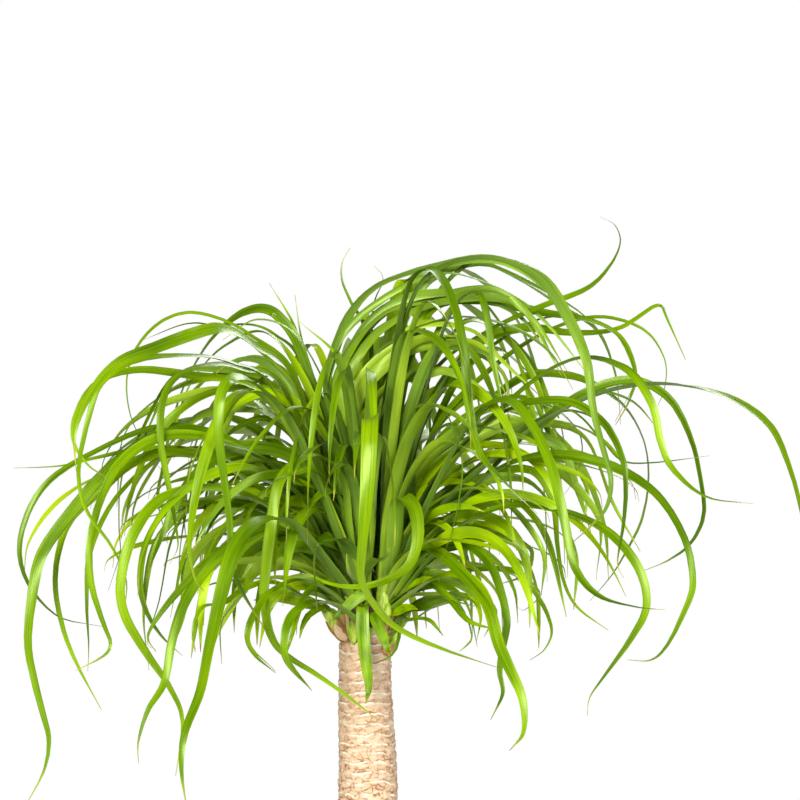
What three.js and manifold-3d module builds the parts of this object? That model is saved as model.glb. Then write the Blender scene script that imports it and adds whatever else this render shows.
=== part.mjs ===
// A ponytail palm in a plain clay pot, in millimetres, +Z up, standing on the origin.
//
// The pot is a thick round clay pot with a raised band at the rim and a ring of drain holes. It is filled
// with potting compost, which has one plain hole for the swollen foot of the trunk. The trunk narrows
// upwards, is ringed with leaf scars, and ends in a cut stump. Six leafy heads sit in sockets round the
// stump. Each head is a pale bud with long strap leaves rooted in it, which rise, arch over and hang
// down. Each head keeps to its own sixth of the crown, so that no two of them touch.
import * as THREE from "three";
import { mergeVertices } from "three/addons/utils/BufferGeometryUtils.js";
import Module from "manifold-3d";

const wasm = await Module();
wasm.setup();

// Driving dimensions
const gap = 0.3; // between pieces that touch
const shortestEdge = 0.05; // slivers thinner than this are closed up
const pot = {
  height: 215,
  wall: 8,
  floor: 10,
  footRadius: 88,
  footBevel: 3,
  rimRadius: 126, // at the raised band
  bandHeight: 34,
  bandStep: 6,
  bandRounding: 5,
  sides: 32,
};
const drain = { count: 5, radius: 6, ring: 52, sides: 12 };
const soil = { top: 191, mound: 4, slack: 0.6 };
const foot = { bottom: 128, radius: 74, widest: 212 }; // the swollen base of the trunk, partly buried
const stem = { bottom: 300, neck: 700, neckRadius: 25.5, top: 728, stumpRadius: 16, sides: 16 };
const scar = { spacing: 33, rise: 22, height: 1.3 }; // the rings that fallen leaves left on the stem
const crown = { height: 735, ringRadius: 22 }; // its heart, and the ring that the heads stand on
const bud = { sides: 10, rootSpread: 8, lowestRoot: -24, highestRoot: 16 };
const blade = {
  keel: 1.6, // how thick the blade is along its middle
  stretch: 76, // about how long each flat stretch is
  fewestStretches: 5,
  mostStretches: 10,
  samples: 120, // points that a course is measured at
  bendWeight: 0.35, // how strongly bends draw the stretches together
  turnsFrom: 0.05, // between these shares of its length, a blade turns about its own course
  turnedBy: 0.5,
};
const bladeWidth = {
  narrowest: 11,
  widest: 18,
  atRoot: 0.5, // as a share of the full width, which is reached at the next share of the length
  grownBy: 0.2,
  tipPower: 0.7, // a lower power keeps the blade wide for longer
  fullness: 0.55,
};

const finishes = {
  clay: { color: 0xb5694a, roughness: 0.85 },
  compost: { color: 0x3a2a1f, roughness: 1 },
  bark: { color: 0xd9bd96, roughness: 0.9 },
  leaf: { color: 0x6fa31a, roughness: 0.4 },
};

// The heads, by the bearing that each faces: 0 is to the right, 90 to the back, 270 to the front. Besides
// the leaves placed one by one below, each has a fill of leaves that arch up to its peak, out to its
// reach and down to its hem.
const heads = {
  left: { seed: 2, bearing: 198, fill: 11, peak: 230, reach: 230, hem: 10 },
  front: { seed: 2, bearing: 258, fill: 13, peak: 250, reach: 190, hem: 60 },
  front_right: { seed: 8, bearing: 318, fill: 10, peak: 290, reach: 230, hem: 30 },
  right: { seed: 2, bearing: 18, fill: 12, peak: 310, reach: 250, hem: 20 },
  back: { seed: 1, bearing: 78, fill: 22, peak: 325, reach: 300, hem: 30 },
  back_left: { seed: 5, bearing: 138, fill: 20, peak: 270, reach: 300, hem: 20 },
};

// How a head's fill leaves vary, from the youngest to the oldest.
const fillRule = {
  fan: 24, // degrees to each side of the head's bearing
  topLoss: 0.86, // how much of the peak the oldest leaf lacks
  topPower: 1.15,
  topScatter: 40,
  leastReach: 0.3, // as a share of the head's reach
  reachFrom: 0.1, // the reach grows and shrinks with age, as half a wave does from here
  reachSpan: 0.68,
  reachScatter: 0.4,
  tipScatter: 0.7,
  turnScatter: 100, // degrees
};

// A fill leaf's course: how far out it is, and how much of its rise and of its fall it has done.
const arch = [
  [0.07, 0.4, 0],
  [0.23, 0.78, 0],
  [0.46, 1, 0],
  [0.7, 1, 0.09],
  [0.88, 1, 0.34],
  [0.98, 1, 0.68],
  [1, 1, 1],
];

const goldenShare = 0.618; // steps by this share of a range never fall on the same place twice
const upward = new THREE.Vector3(0, 0, 1);
const radians = THREE.MathUtils.degToRad;
const clamp = THREE.MathUtils.clamp;
const fade = THREE.MathUtils.smoothstep;
const mix = THREE.MathUtils.lerp;

// A repeatable number from 0 to 1 for a leaf and a purpose.
function chance(leaf, purpose) {
  const value = Math.sin(leaf * 12.9898 + purpose * 78.233) * 43758.5453;
  return value - Math.floor(value);
}

// Leaves placed one by one, which run out in an upright plane. Each has its head, the plane's bearing,
// its width, how far it turns its face to the front, and its course as [to the right, up] from the heart
// of the crown.
const fannedLeaves = [
  ["left", 186, 10, 55, [[-78, 115], [-143, 167], [-208, 178], [-273, 153], [-323, 119], [-346, 70],
    [-341, 27], [-310, -10], [-265, -21]]],
  ["left", 205, 12, 50, [[-68, 175], [-118, 220], [-173, 229], [-228, 235], [-268, 222], [-288, 193],
    [-291, 165], [-276, 140], [-250, 124]]],
  ["left", 215, 9, 40, [[-88, 205], [-138, 243], [-188, 249], [-233, 243], [-263, 221], [-274, 190],
    [-282, 155], [-284, 125], [-276, 95], [-250, 57], [-238, 25], [-241, -10]]],
  ["left", 222, 18, 60, [[-68, 215], [-113, 260], [-143, 276], [-173, 270], [-208, 257], [-243, 243],
    [-268, 217], [-286, 175], [-285, 135]]],
  ["left", 212, 13, 35, [[-78, 205], [-128, 237], [-163, 239], [-190, 227], [-203, 203], [-205, 165],
    [-198, 125], [-191, 85], [-188, 60], [-196, 43]]],
  ["left", 200, 16, 60, [[-68, 120], [-123, 157], [-173, 175], [-218, 165], [-258, 135], [-293, 95],
    [-323, 52], [-333, 5], [-336, -40], [-326, -90], [-316, -130], [-321, -163], [-338, -195]]],
  ["left", 193, 12, 55, [[-68, 85], [-128, 130], [-188, 153], [-233, 143], [-268, 113], [-296, 85],
    [-308, 50], [-310, 15], [-302, -25], [-288, -60], [-265, -103]]],
  ["left", 178, 8, 40, [[-68, 105], [-128, 140], [-178, 156], [-228, 156], [-273, 147], [-308, 139],
    [-355, 137]]],
  ["left", 210, 13, 50, [[-78, 125], [-148, 165], [-203, 169], [-243, 145], [-263, 108], [-274, 65],
    [-273, 25], [-262, -13], [-254, -35], [-261, -48], [-288, -62]]],
  ["left", 172, 10, 60, [[-68, 105], [-140, 150], [-200, 150], [-250, 110], [-278, 55], [-282, 5],
    [-280, -40], [-281, -67]]],
  ["left", 218, 14, 55, [[-58, 65], [-108, 105], [-158, 118], [-203, 108], [-230, 75], [-243, 30],
    [-240, -5], [-220, -42], [-196, -78], [-183, -113], [-190, -167]]],
  ["left", 188, 12, 50, [[-58, 60], [-103, 95], [-153, 105], [-198, 95], [-220, 65], [-227, 25],
    [-221, -5], [-206, -30], [-185, -50]]],
  ["left", 225, 14, 50, [[-48, 45], [-83, 77], [-118, 70], [-153, 45], [-178, 10], [-192, -30],
    [-200, -73], [-216, -100], [-225, -130], [-225, -152]]],
  ["left", 215, 9, 45, [[-88, 22], [-123, 17], [-143, 3], [-163, 0], [-173, -20], [-171, -45]]],
  ["left", 205, 13, 55, [[-48, 65], [-108, 70], [-153, 50], [-188, 15], [-208, -10], [-218, -30],
    [-210, -45]]],
  ["left", 222, 11, 30, [[-38, -2], [-57, -8], [-65, -20], [-68, -33]]],
  ["front", 232, 19, 15, [[-43, 105], [-76, 175], [-98, 205], [-118, 214], [-136, 202], [-151, 173],
    [-163, 135], [-171, 95], [-174, 60], [-169, 30], [-160, 17]]],
  ["front", 236, 14, 20, [[-68, 165], [-103, 215], [-128, 228], [-143, 213], [-146, 175], [-140, 125],
    [-135, 85], [-134, 50], [-126, 22], [-102, -20]]],
  ["front", 240, 12, 10, [[-23, 85], [-33, 155], [-46, 185], [-65, 198], [-85, 191], [-106, 168],
    [-121, 145], [-132, 123]]],
  ["front", 238, 19, 15, [[-43, 45], [-78, 85], [-108, 85], [-130, 60], [-143, 15], [-154, -35],
    [-163, -80], [-178, -120], [-181, -155], [-176, -192]]],
  ["front", 232, 9, 30, [[-38, 15], [-68, 27], [-96, 15], [-114, -9], [-119, -29], [-111, -47],
    [-91, -65]]],
  ["front", 240, 12, 20, [[-33, 2], [-56, 5], [-75, -8], [-82, -30], [-79, -53], [-55, -83]]],
  ["front_right", 342, 15, 50, [[62, 85], [122, 145], [182, 190], [242, 215], [302, 221], [357, 208],
    [397, 180], [417, 137], [429, 93], [440, 45], [446, 0], [436, -45]]],
  ["front_right", 325, 13, 40, [[72, 125], [142, 205], [202, 245], [252, 237], [279, 203], [288, 165],
    [300, 137], [332, 110], [377, 104]]],
  ["front_right", 315, 17, 30, [[14, 165], [28, 255], [52, 320], [87, 343], [132, 345], [172, 325],
    [197, 287], [215, 245], [222, 195], [232, 155], [239, 125], [232, 95], [202, 65]]],
  ["front_right", 305, 15, 15, [[20, 165], [30, 265], [42, 320], [59, 336], [75, 323], [88, 290],
    [96, 245], [100, 200], [110, 155], [132, 127], [167, 93]]],
  ["front_right", 320, 13, 30, [[47, 175], [72, 265], [92, 305], [110, 310], [119, 283], [124, 245],
    [132, 205], [138, 175]]],
  ["front_right", 300, 13, 15, [[18, 125], [26, 225], [37, 270], [57, 272], [77, 255], [92, 225],
    [100, 190], [102, 155]]],
  ["front_right", 335, 13, 50, [[62, 60], [112, 125], [172, 150], [232, 143], [282, 115], [312, 70],
    [321, 25], [312, -5], [296, -37], [280, -52], [257, -52]]],
  ["front_right", 328, 13, 45, [[52, 35], [92, 80], [142, 100], [192, 95], [237, 75], [267, 40], [275, 2],
    [260, -30], [237, -63], [220, -88], [217, -107]]],
  ["front_right", 312, 14, 35, [[62, 105], [102, 185], [137, 205], [162, 180], [182, 135], [194, 85],
    [204, 40], [227, 13], [262, 3], [290, 1]]],
  ["front_right", 318, 18, 35, [[24, 35], [44, 55], [67, 55], [94, 32], [118, 2], [129, -35], [140, -60],
    [153, -90], [154, -123], [140, -142]]],
  ["front_right", 332, 13, 45, [[32, 35], [62, 55], [97, 60], [120, 43], [132, 15], [138, -15],
    [134, -40], [131, -65], [134, -87], [122, -113]]],
  ["front_right", 344, 14, 50, [[32, 10], [60, 22], [80, 8], [100, -15], [125, -23]]],
  ["front_right", 335, 9, 40, [[34, -18], [47, -13], [62, -15], [75, -30]]],
  ["front_right", 322, 12, 40, [[62, 120], [130, 190], [190, 205], [230, 185], [250, 150], [254, 120],
    [252, 85], [246, 45], [252, 30]]],
  ["right", 355, 12, 55, [[82, 85], [152, 165], [212, 210], [262, 225], [300, 207], [322, 167],
    [332, 125], [335, 90], [322, 62], [300, 45], [276, 35]]],
  ["right", 25, 7, 50, [[62, 165], [122, 235], [182, 275], [232, 289], [277, 277], [299, 248], [300, 217],
    [287, 188]]],
  ["right", 10, 13, 55, [[52, 175], [102, 255], [152, 277], [207, 272], [252, 277], [290, 300],
    [300, 287], [319, 245]]],
  ["right", 354, 12, 40, [[32, 175], [72, 240], [122, 275], [172, 298], [218, 316], [241, 338],
    [252, 362], [246, 380], [231, 388]]],
  ["right", 5, 15, 55, [[27, 135], [38, 225], [62, 295], [112, 306], [172, 293], [222, 285], [254, 267],
    [268, 233], [262, 205], [248, 180]]],
  ["right", 30, 12, 50, [[18, 200], [30, 270], [60, 325], [110, 343], [150, 328], [195, 300], [232, 275],
    [250, 230], [255, 180]]],
  ["right", 352, 11, 50, [[72, 66], [122, 125], [162, 135], [184, 105], [189, 60], [195, 25], [209, -2],
    [240, -25]]],
  ["right", 10, 9, 45, [[42, 15], [72, 30], [112, 35], [147, 33], [172, 5], [184, -25], [177, -45],
    [162, -56]]],
  ["right", 20, 7, 40, [[32, -8], [62, 3], [92, 8], [105, 2], [110, -3]]],
  ["right", 359, 14, 50, [[52, 40], [102, 77], [132, 75], [157, 60], [164, 50], [157, 30], [132, 21]]],
  ["right", 40, 9, 40, [[72, 190], [120, 255], [160, 235], [185, 205], [198, 165], [195, 125],
    [187, 105]]],
  ["right", 15, 8, 45, [[60, 150], [130, 205], [180, 200], [210, 175], [215, 150], [207, 125],
    [197, 110]]],
  ["right", 30, 11, 50, [[72, 135], [142, 220], [202, 230], [252, 205], [277, 170], [284, 130], [277, 85],
    [260, 50], [244, 25], [224, 2]]],
  ["right", 42, 13, 45, [[52, 60], [90, 90], [140, 105], [180, 100], [200, 80], [205, 50]]],
  ["back", 62, 16, 20, [[10, 145], [18, 240], [36, 310], [70, 340], [110, 330], [150, 290], [170, 240],
    [178, 190], [175, 130]]],
  ["back_left", 160, 6, 50, [[-68, 215], [-118, 270], [-168, 292], [-203, 287], [-230, 263], [-243, 230],
    [-240, 190], [-223, 155], [-203, 127]]],
  ["back_left", 150, 13, 50, [[-43, 165], [-68, 255], [-88, 287], [-106, 297], [-128, 292], [-150, 275],
    [-170, 250], [-188, 215], [-200, 175], [-208, 135], [-213, 105], [-203, 60]]],
  ["back_left", 164, 6, 50, [[-78, 120], [-150, 165], [-205, 165], [-240, 145], [-250, 115], [-251, 75],
    [-250, 50], [-262, 13]]],
];

// Leaves placed one by one, which come towards the front and sweep sideways. Each has its head, its
// width, how far it turns, and its course as [to the right, to the back, up] from the heart of the crown.
const sweptLeaves = [
  ["front", 20, 0, [[0, -34, 60], [3, -52, 130], [5, -78, 178], [6, -105, 187], [4, -128, 168],
    [0, -138, 120], [-4, -142, 70], [-6, -142, 30], [8, -140, 2], [30, -138, -20], [72, -136, -40],
    [130, -134, -60]]],
  ["front", 12, 0, [[-18, -45, 65], [-25, -72, 125], [-46, -95, 149], [-70, -112, 144], [-88, -125, 123],
    [-95, -132, 85], [-100, -135, 45], [-102, -135, 5], [-90, -132, -38], [-48, -125, -68],
    [-16, -120, -91], [11, -115, -113]]],
  ["front", 14, 0, [[-6, -44, 0], [-5, -50, -25], [-2, -52, -55], [1, -52, -80], [-2, -52, -97]]],
  ["front", 12, 0, [[4, -40, -6], [13, -46, -28], [20, -48, -50]]],
  ["front", 11, 0, [[-8, -42, 8], [-20, -50, -2], [-30, -52, -12]]],
  ["front", 16, 0, [[-12, -30, 60], [-16, -38, 110], [-19, -52, 150], [-24, -75, 160], [-30, -95, 140],
    [-34, -105, 105]]],
  ["front_right", 17, 0, [[28, -34, 50], [34, -52, 95], [40, -76, 112], [47, -98, 100], [50, -110, 70],
    [42, -116, 45]]],
  ["front_right", 6, 0, [[31, -36, -16], [29, -43, -40], [20, -46, -52], [8, -46, -56]]],
  ["front_right", 19, 25, [[30, -26, 60], [46, -32, 120], [60, -38, 160], [78, -46, 180], [104, -60, 168],
    [124, -72, 138]]],
];

// Leaf courses. Each leaf is { head, points, width, turn }: its points run from inside the bud to the
// tip.
function headCentre(head) {
  const front = new THREE.Vector3(crown.ringRadius, 0, crown.height);
  return front.applyAxisAngle(upward, radians(heads[head].bearing));
}

// Where in the bud a leaf is rooted: upright leaves are the youngest and the highest, and all stand side
// by side.
function rootOf(head, number, out, up) {
  const bearing = radians(heads[head].bearing);
  const steepness = Math.atan2(up, out) / (Math.PI / 2);
  const sideways = bud.rootSpread * (((number * goldenShare) % 1) - 0.5);
  const height = mix(bud.lowestRoot, bud.highestRoot, steepness);
  const shift = new THREE.Vector3(-sideways * Math.sin(bearing), sideways * Math.cos(bearing), height);
  return headCentre(head).add(shift);
}

function fannedLeaf([head, bearing, width, turn, course], number) {
  const slope = Math.tan(radians(bearing));
  const side = Math.sign(Math.cos(radians(bearing)));
  const [firstRight, firstUp] = course[0];
  const root = rootOf(head, number, Math.abs(firstRight / Math.cos(radians(bearing))), firstUp);
  const points = course.map(
    ([right, up]) => new THREE.Vector3(right, root.y + (right - root.x) * slope, crown.height + up),
  );
  return { head, points: [root, ...points], width, turn: turn * side };
}

function sweptLeaf([head, width, turn, course], number) {
  const points = course.map(([right, back, up]) => new THREE.Vector3(right, back, crown.height + up));
  const [right, back, up] = course[0];
  return { head, points: [rootOf(head, number, Math.hypot(right, back), up), ...points], width, turn };
}

// The rest of a head's leaves, from the youngest, upright one to the oldest, lowest one.
function fillLeaf(head, number) {
  const { seed, bearing, fill, peak, reach, hem } = heads[head];
  const leaf = 100 * seed + number;
  const age = (number + 0.5) / fill;
  const spread = 2 * ((number * goldenShare + 0.2) % 1) - 1;
  const heading = radians(bearing + fillRule.fan * spread);
  const peakNow = peak * (1 - fillRule.topLoss * age ** fillRule.topPower);
  const top = peakNow + fillRule.topScatter * (chance(leaf, 1) - 0.5);
  const swell = Math.sin(Math.PI * (fillRule.reachFrom + fillRule.reachSpan * age));
  const reachNow = reach * mix(fillRule.leastReach, 1, swell);
  const out = reachNow * (1 + fillRule.reachScatter * (chance(leaf, 2) - 0.5));
  const tip = hem + (top - hem) * fillRule.tipScatter * chance(leaf, 3);
  const [firstOut, firstRise] = arch[0];
  const root = rootOf(head, number + 0.4, out * firstOut, top * firstRise);
  const rise = crown.height + top - root.z;
  const points = arch.map(([outShare, riseShare, fallShare]) => {
    const point = new THREE.Vector3(out * outShare, 0, rise * riseShare - (top - tip) * fallShare);
    return point.applyAxisAngle(upward, heading).add(root);
  });
  const width = mix(bladeWidth.narrowest, bladeWidth.widest, chance(leaf, 6));
  const turn = fillRule.turnScatter * (chance(leaf, 7) - 0.5);
  return { head, points: [root, ...points], width, turn };
}

function leavesOf(head) {
  const placed = [...fannedLeaves.map(fannedLeaf), ...sweptLeaves.map(sweptLeaf)];
  const fill = Array.from({ length: heads[head].fill }, (_, number) => fillLeaf(head, number));
  return [...placed.filter((leaf) => leaf.head === head), ...fill];
}

// How wide a leaf is along its length, as a share of its full width: slim at the root, then a long taper.
function taper(along) {
  const growing = mix(bladeWidth.atRoot, 1, fade(along, 0, bladeWidth.grownBy));
  return growing * (1 - along) ** bladeWidth.tipPower * (1 + bladeWidth.fullness * along);
}

// Where a leaf's cross-sections stand: closer together where it bends, and further apart where it runs
// straight. Each station has its share of the leaf's length.
function stationsAlong(points) {
  const curve = new THREE.CatmullRomCurve3(points, false, "catmullrom", 0.5);
  const wanted = Math.round(curve.getLength() / blade.stretch);
  const stretches = clamp(wanted, blade.fewestStretches, blade.mostStretches);
  const fine = curve.getSpacedPoints(blade.samples);
  const steps = fine.slice(1).map((point, index) => point.clone().sub(fine[index]));
  const weights = [0];
  steps.forEach((step, index) => {
    const bend = step.angleTo(steps[Math.min(index + 1, steps.length - 1)]);
    weights.push(weights[index] + 1 / blade.samples + blade.bendWeight * bend);
  });
  const total = weights[blade.samples];
  const picks = Array.from({ length: stretches }, (_, number) =>
    weights.findIndex((weight) => weight >= (total * number) / stretches),
  );
  picks.push(blade.samples);
  return { stations: picks.map((pick) => fine[pick]), shares: picks.map((pick) => pick / blade.samples) };
}

// The corners of a leaf's cross-sections, from the root to the tip: two sharp edges and a keel along the
// back.
function bladeCorners({ points, width, turn }) {
  const { stations, shares } = stationsAlong(points);
  const last = stations.length - 1;
  const out = points[1].clone().sub(points[0]);
  const across = new THREE.Vector3(-out.y, out.x, 0).normalize();
  return stations.map((station, index) => {
    if (index === last) return [station];
    const tangent = stations[index + 1].clone().sub(stations[Math.max(index - 1, 0)]).normalize();
    across.addScaledVector(tangent, -across.dot(tangent)).normalize();
    const upper = tangent.clone().cross(across);
    const angle = radians(turn) * fade(shares[index], blade.turnsFrom, blade.turnedBy);
    const edge = across.clone().multiplyScalar(Math.cos(angle)).addScaledVector(upper, Math.sin(angle));
    const face = upper.clone().multiplyScalar(Math.cos(angle)).addScaledVector(across, -Math.sin(angle));
    const half = (width * taper(shares[index])) / 2;
    return [
      station.clone().addScaledVector(edge, -half),
      station.clone().addScaledVector(edge, half),
      station.clone().addScaledVector(face, -blade.keel),
    ];
  });
}

// The two triangles of a four-cornered face, split so that it bulges outwards. A twisted blade then stays
// clear of its own far side.
function splitFace(corners, [a, b, c, d]) {
  const plane = new THREE.Plane().setFromCoplanarPoints(corners[a], corners[b], corners[d]);
  return plane.distanceToPoint(corners[c]) > 0 ? [a, b, c, a, c, d] : [a, b, d, b, c, d];
}

// A leaf as a solid: a strap in a few flat stretches, which ends in a point.
function bladeSolid(leaf) {
  const sections = bladeCorners(leaf);
  const corners = sections.flat();
  const last = sections.length - 1;
  const triangles = [0, 1, 2];
  for (let index = 0; index < last; index++) {
    for (let corner = 0; corner < 3; corner++) {
      const a = index * 3 + corner;
      const b = index * 3 + ((corner + 1) % 3);
      if (index === last - 1) triangles.push(a, last * 3, b);
      else triangles.push(...splitFace(corners, [a, a + 3, b + 3, b]));
    }
  }
  return solidFromTriangles(corners.flatMap((corner) => corner.toArray()), triangles);
}

// Solids
function solidFromTriangles(coordinates, triangles) {
  const vertProperties = new Float32Array(coordinates);
  const triVerts = new Uint32Array(triangles);
  return new wasm.Manifold(new wasm.Mesh({ numProp: 3, vertProperties, triVerts }));
}

function solidFromGeometry(geometry) {
  const bare = geometry.clone();
  bare.deleteAttribute("normal");
  bare.deleteAttribute("uv");
  const merged = mergeVertices(bare, 1e-4);
  return solidFromTriangles(merged.attributes.position.array, merged.index.array);
}

function geometryFromSolid(solid) {
  const { vertProperties, triVerts } = solid.getMesh();
  return new THREE.BufferGeometry()
    .setAttribute("position", new THREE.BufferAttribute(vertProperties, 3))
    .setIndex(new THREE.BufferAttribute(triVerts, 1));
}

// A solid of revolution about +Z from [radius, height] pairs that run up the outside.
function turned(profile, sides, bearing = 0) {
  const outline = profile.map(([radius, height]) => new THREE.Vector2(radius, height));
  const lathed = new THREE.LatheGeometry(outline, sides);
  return solidFromGeometry(lathed.rotateX(Math.PI / 2).rotateZ(radians(bearing)));
}

function potOuterRadius(height) {
  return mix(pot.footRadius, pot.rimRadius - pot.bandStep, height / pot.height);
}

function makePot() {
  const bandFoot = pot.height - pot.bandHeight;
  const rim = pot.rimRadius;
  const innerTop = potOuterRadius(pot.height) - pot.wall;
  const innerFoot = potOuterRadius(pot.floor) - pot.wall;
  const shell = turned(
    [
      [0, 0],
      [pot.footRadius - pot.footBevel, 0],
      [pot.footRadius, pot.footBevel],
      [potOuterRadius(bandFoot), bandFoot],
      [rim - pot.bandRounding * 0.4, bandFoot + pot.bandRounding * 0.4],
      [rim, bandFoot + pot.bandRounding],
      [rim, pot.height - pot.bandRounding],
      [rim - pot.bandRounding * 0.6, pot.height - pot.bandRounding * 0.2],
      [rim - pot.bandRounding * 1.2, pot.height],
      [innerTop + pot.bandRounding * 0.4, pot.height],
      [innerTop, pot.height - pot.bandRounding * 0.6],
      [innerFoot, pot.floor],
      [0, pot.floor],
    ],
    pot.sides,
  );
  const drill = new THREE.CylinderGeometry(drain.radius, drain.radius, 4 * pot.floor, drain.sides)
    .rotateX(Math.PI / 2)
    .translate(0, drain.ring, 0);
  let solid = shell;
  for (let hole = 0; hole < drain.count; hole++) {
    solid = solid.subtract(solidFromGeometry(drill.clone().rotateZ((2 * Math.PI * hole) / drain.count)));
  }
  return solid;
}

// The trunk's outline up to its neck: a swollen foot that eases into a slim stem.
const trunkOutline = [
  [0, foot.bottom],
  [30, foot.bottom + 4],
  [50, foot.bottom + 22],
  [65, foot.bottom + 46],
  [foot.radius - 2, foot.widest - 18],
  [foot.radius, foot.widest],
  [foot.radius - 4, foot.widest + 20],
  [58, 256],
  [47, 284],
  [40, 320],
  [36, 370],
  [33, 430],
  [31, 490],
  [29.3, 540],
  [27.6, 600],
  [stem.neckRadius, 660],
  [stem.neckRadius, stem.neck],
];

function trunkRadius(height) {
  const above = trunkOutline.findIndex(([, level]) => level >= height);
  const [lowRadius, low] = trunkOutline[above - 1];
  const [highRadius, high] = trunkOutline[above];
  return THREE.MathUtils.mapLinear(height, low, high, lowRadius, highRadius);
}

function makeTrunk() {
  const rings = [];
  for (let height = stem.bottom; height + scar.rise < stem.neck; height += scar.spacing) {
    rings.push([trunkRadius(height), height]);
    rings.push([trunkRadius(height + scar.rise) + scar.height, height + scar.rise]);
  }
  const profile = [
    ...trunkOutline.filter(([, height]) => height < stem.bottom),
    ...rings,
    [stem.neckRadius + 0.8, stem.neck + 4],
    [stem.neckRadius - 0.5, stem.neck + 14],
    [stem.stumpRadius + 3, stem.top - 4],
    [stem.stumpRadius, stem.top],
    [0, stem.top],
  ];
  const sockets = Object.keys(heads).map((head) => budSolid(head, gap));
  return sockets.reduce((solid, socket) => solid.subtract(socket), turned(profile, stem.sides));
}

function makeSoil() {
  const inner = (height) => potOuterRadius(height) - pot.wall - gap - soil.slack;
  const bottom = pot.floor + gap;
  const crest = soil.top + soil.mound;
  const whole = turned(
    [
      [0, bottom],
      [inner(bottom), bottom],
      [inner(soil.top - 3), soil.top - 3],
      [inner(soil.top) - 8, soil.top],
      [(inner(soil.top) + foot.radius) / 2, crest],
      [0, crest],
    ],
    pot.sides,
  );
  const buried = trunkOutline.filter(([, height]) => height < foot.widest);
  const outline = buried.map(([radius, height]) => [radius ? radius + gap : 0, height - gap]);
  const hole = turned([...outline, [foot.radius + gap, foot.widest], [0, foot.widest]], stem.sides);
  return whole.subtract(hole);
}

// The bud's outline, as [radius, height above the crown's heart].
const budOutline = [
  [0, -41],
  [6, -38],
  [9.3, -28],
  [10, -16.4],
  [9.3, 0],
  [6, 21],
  [0, 30],
];

// The pale bud that a head's leaves are rooted in. It sits in a socket in the trunk's top, which is grown
// by the gap.
function budSolid(head, grow = 0) {
  const tip = budOutline.length - 1;
  const profile = budOutline.map(([radius, height], index) => {
    const rise = index === tip ? grow : index < 2 ? -grow : 0;
    return [radius && radius + grow, height + rise];
  });
  return turned(profile, bud.sides, heads[head].bearing).translate(headCentre(head).toArray());
}

// Joining can seal small hollows between leaves. Only the outer skin is kept, so they are filled.
function makeHead(head) {
  const joined = wasm.Manifold.union([budSolid(head), ...leavesOf(head).map(bladeSolid)]);
  const skins = joined.simplify(shortestEdge).decompose();
  return skins.sort((a, b) => b.volume() - a.volume())[0];
}

// The plant
const palm = new THREE.Group();

function addPiece(name, solid, finish) {
  const material = new THREE.MeshStandardMaterial({ ...finish, metalness: 0 });
  const mesh = new THREE.Mesh(geometryFromSolid(solid), material);
  mesh.name = name;
  palm.add(mesh);
}

addPiece("pot", makePot(), finishes.clay);
addPiece("potting_soil", makeSoil(), finishes.compost);
addPiece("trunk", makeTrunk(), finishes.bark);
for (const head of Object.keys(heads)) addPiece(`leafy_head_${head}`, makeHead(head), finishes.leaf);

export default palm;
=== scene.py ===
import math

import bmesh
import bpy
from mathutils import Matrix, Vector, noise


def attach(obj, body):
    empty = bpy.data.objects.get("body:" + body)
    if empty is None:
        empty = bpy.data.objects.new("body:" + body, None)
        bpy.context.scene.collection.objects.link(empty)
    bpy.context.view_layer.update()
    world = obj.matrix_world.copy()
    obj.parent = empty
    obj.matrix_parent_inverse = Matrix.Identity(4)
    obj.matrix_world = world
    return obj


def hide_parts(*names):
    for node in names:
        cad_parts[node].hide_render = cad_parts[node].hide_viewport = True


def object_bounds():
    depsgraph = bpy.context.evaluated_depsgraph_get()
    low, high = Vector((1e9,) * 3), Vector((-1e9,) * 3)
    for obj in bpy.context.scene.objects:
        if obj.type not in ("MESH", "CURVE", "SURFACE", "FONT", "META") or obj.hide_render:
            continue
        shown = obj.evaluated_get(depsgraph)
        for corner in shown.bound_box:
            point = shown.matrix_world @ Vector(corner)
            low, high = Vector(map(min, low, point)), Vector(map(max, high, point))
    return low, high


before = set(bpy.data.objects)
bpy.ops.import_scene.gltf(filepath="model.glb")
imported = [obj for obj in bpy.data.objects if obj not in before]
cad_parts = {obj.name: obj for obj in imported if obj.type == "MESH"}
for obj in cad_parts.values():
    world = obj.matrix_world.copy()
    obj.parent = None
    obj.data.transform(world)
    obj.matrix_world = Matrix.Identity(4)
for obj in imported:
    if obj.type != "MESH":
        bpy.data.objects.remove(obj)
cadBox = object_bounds()
mm = 0.001
weld = 1e-6  # metres: points that lie closer together than this are merged
print("frame loaded:", sorted(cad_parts))


# Small helpers

def mix(a, b, share):
    return a + (b - a) * share


def clamp(value, low=0.0, high=1.0):
    return max(low, min(high, value))


def fade(value, low, high):  # a smooth step from 0 at low to 1 at high
    share = clamp((value - low) / (high - low))
    return share * share * (3 - 2 * share)


def chance(thing, purpose):  # a repeatable number from 0 to 1, another one for each purpose
    value = math.sin(thing * 12.9898 + purpose * 78.233) * 43758.5453
    return value - math.floor(value)


def scatter(amount, thing, purpose):  # a repeatable number, at most half of amount above or below 0
    return amount * (chance(thing, purpose) - 0.5)


def around(turn, radius, height):  # a place at this radius and height, turned round the upright axis
    return Vector((radius * math.cos(turn), radius * math.sin(turn), height))


def fourOctaves(place):  # rough noise, which swings a little past 1 either way
    return noise.fractal(place, 1.0, 2.0, 4)


def linear(hexColour):  # an sRGB colour such as "8fc31f", as the linear one that a shader takes
    parts = [int(hexColour[i:i + 2], 16) / 255 for i in (0, 2, 4)]
    return (*[c / 12.92 if c <= 0.04045 else ((c + 0.055) / 1.055) ** 2.4 for c in parts], 1.0)


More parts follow.
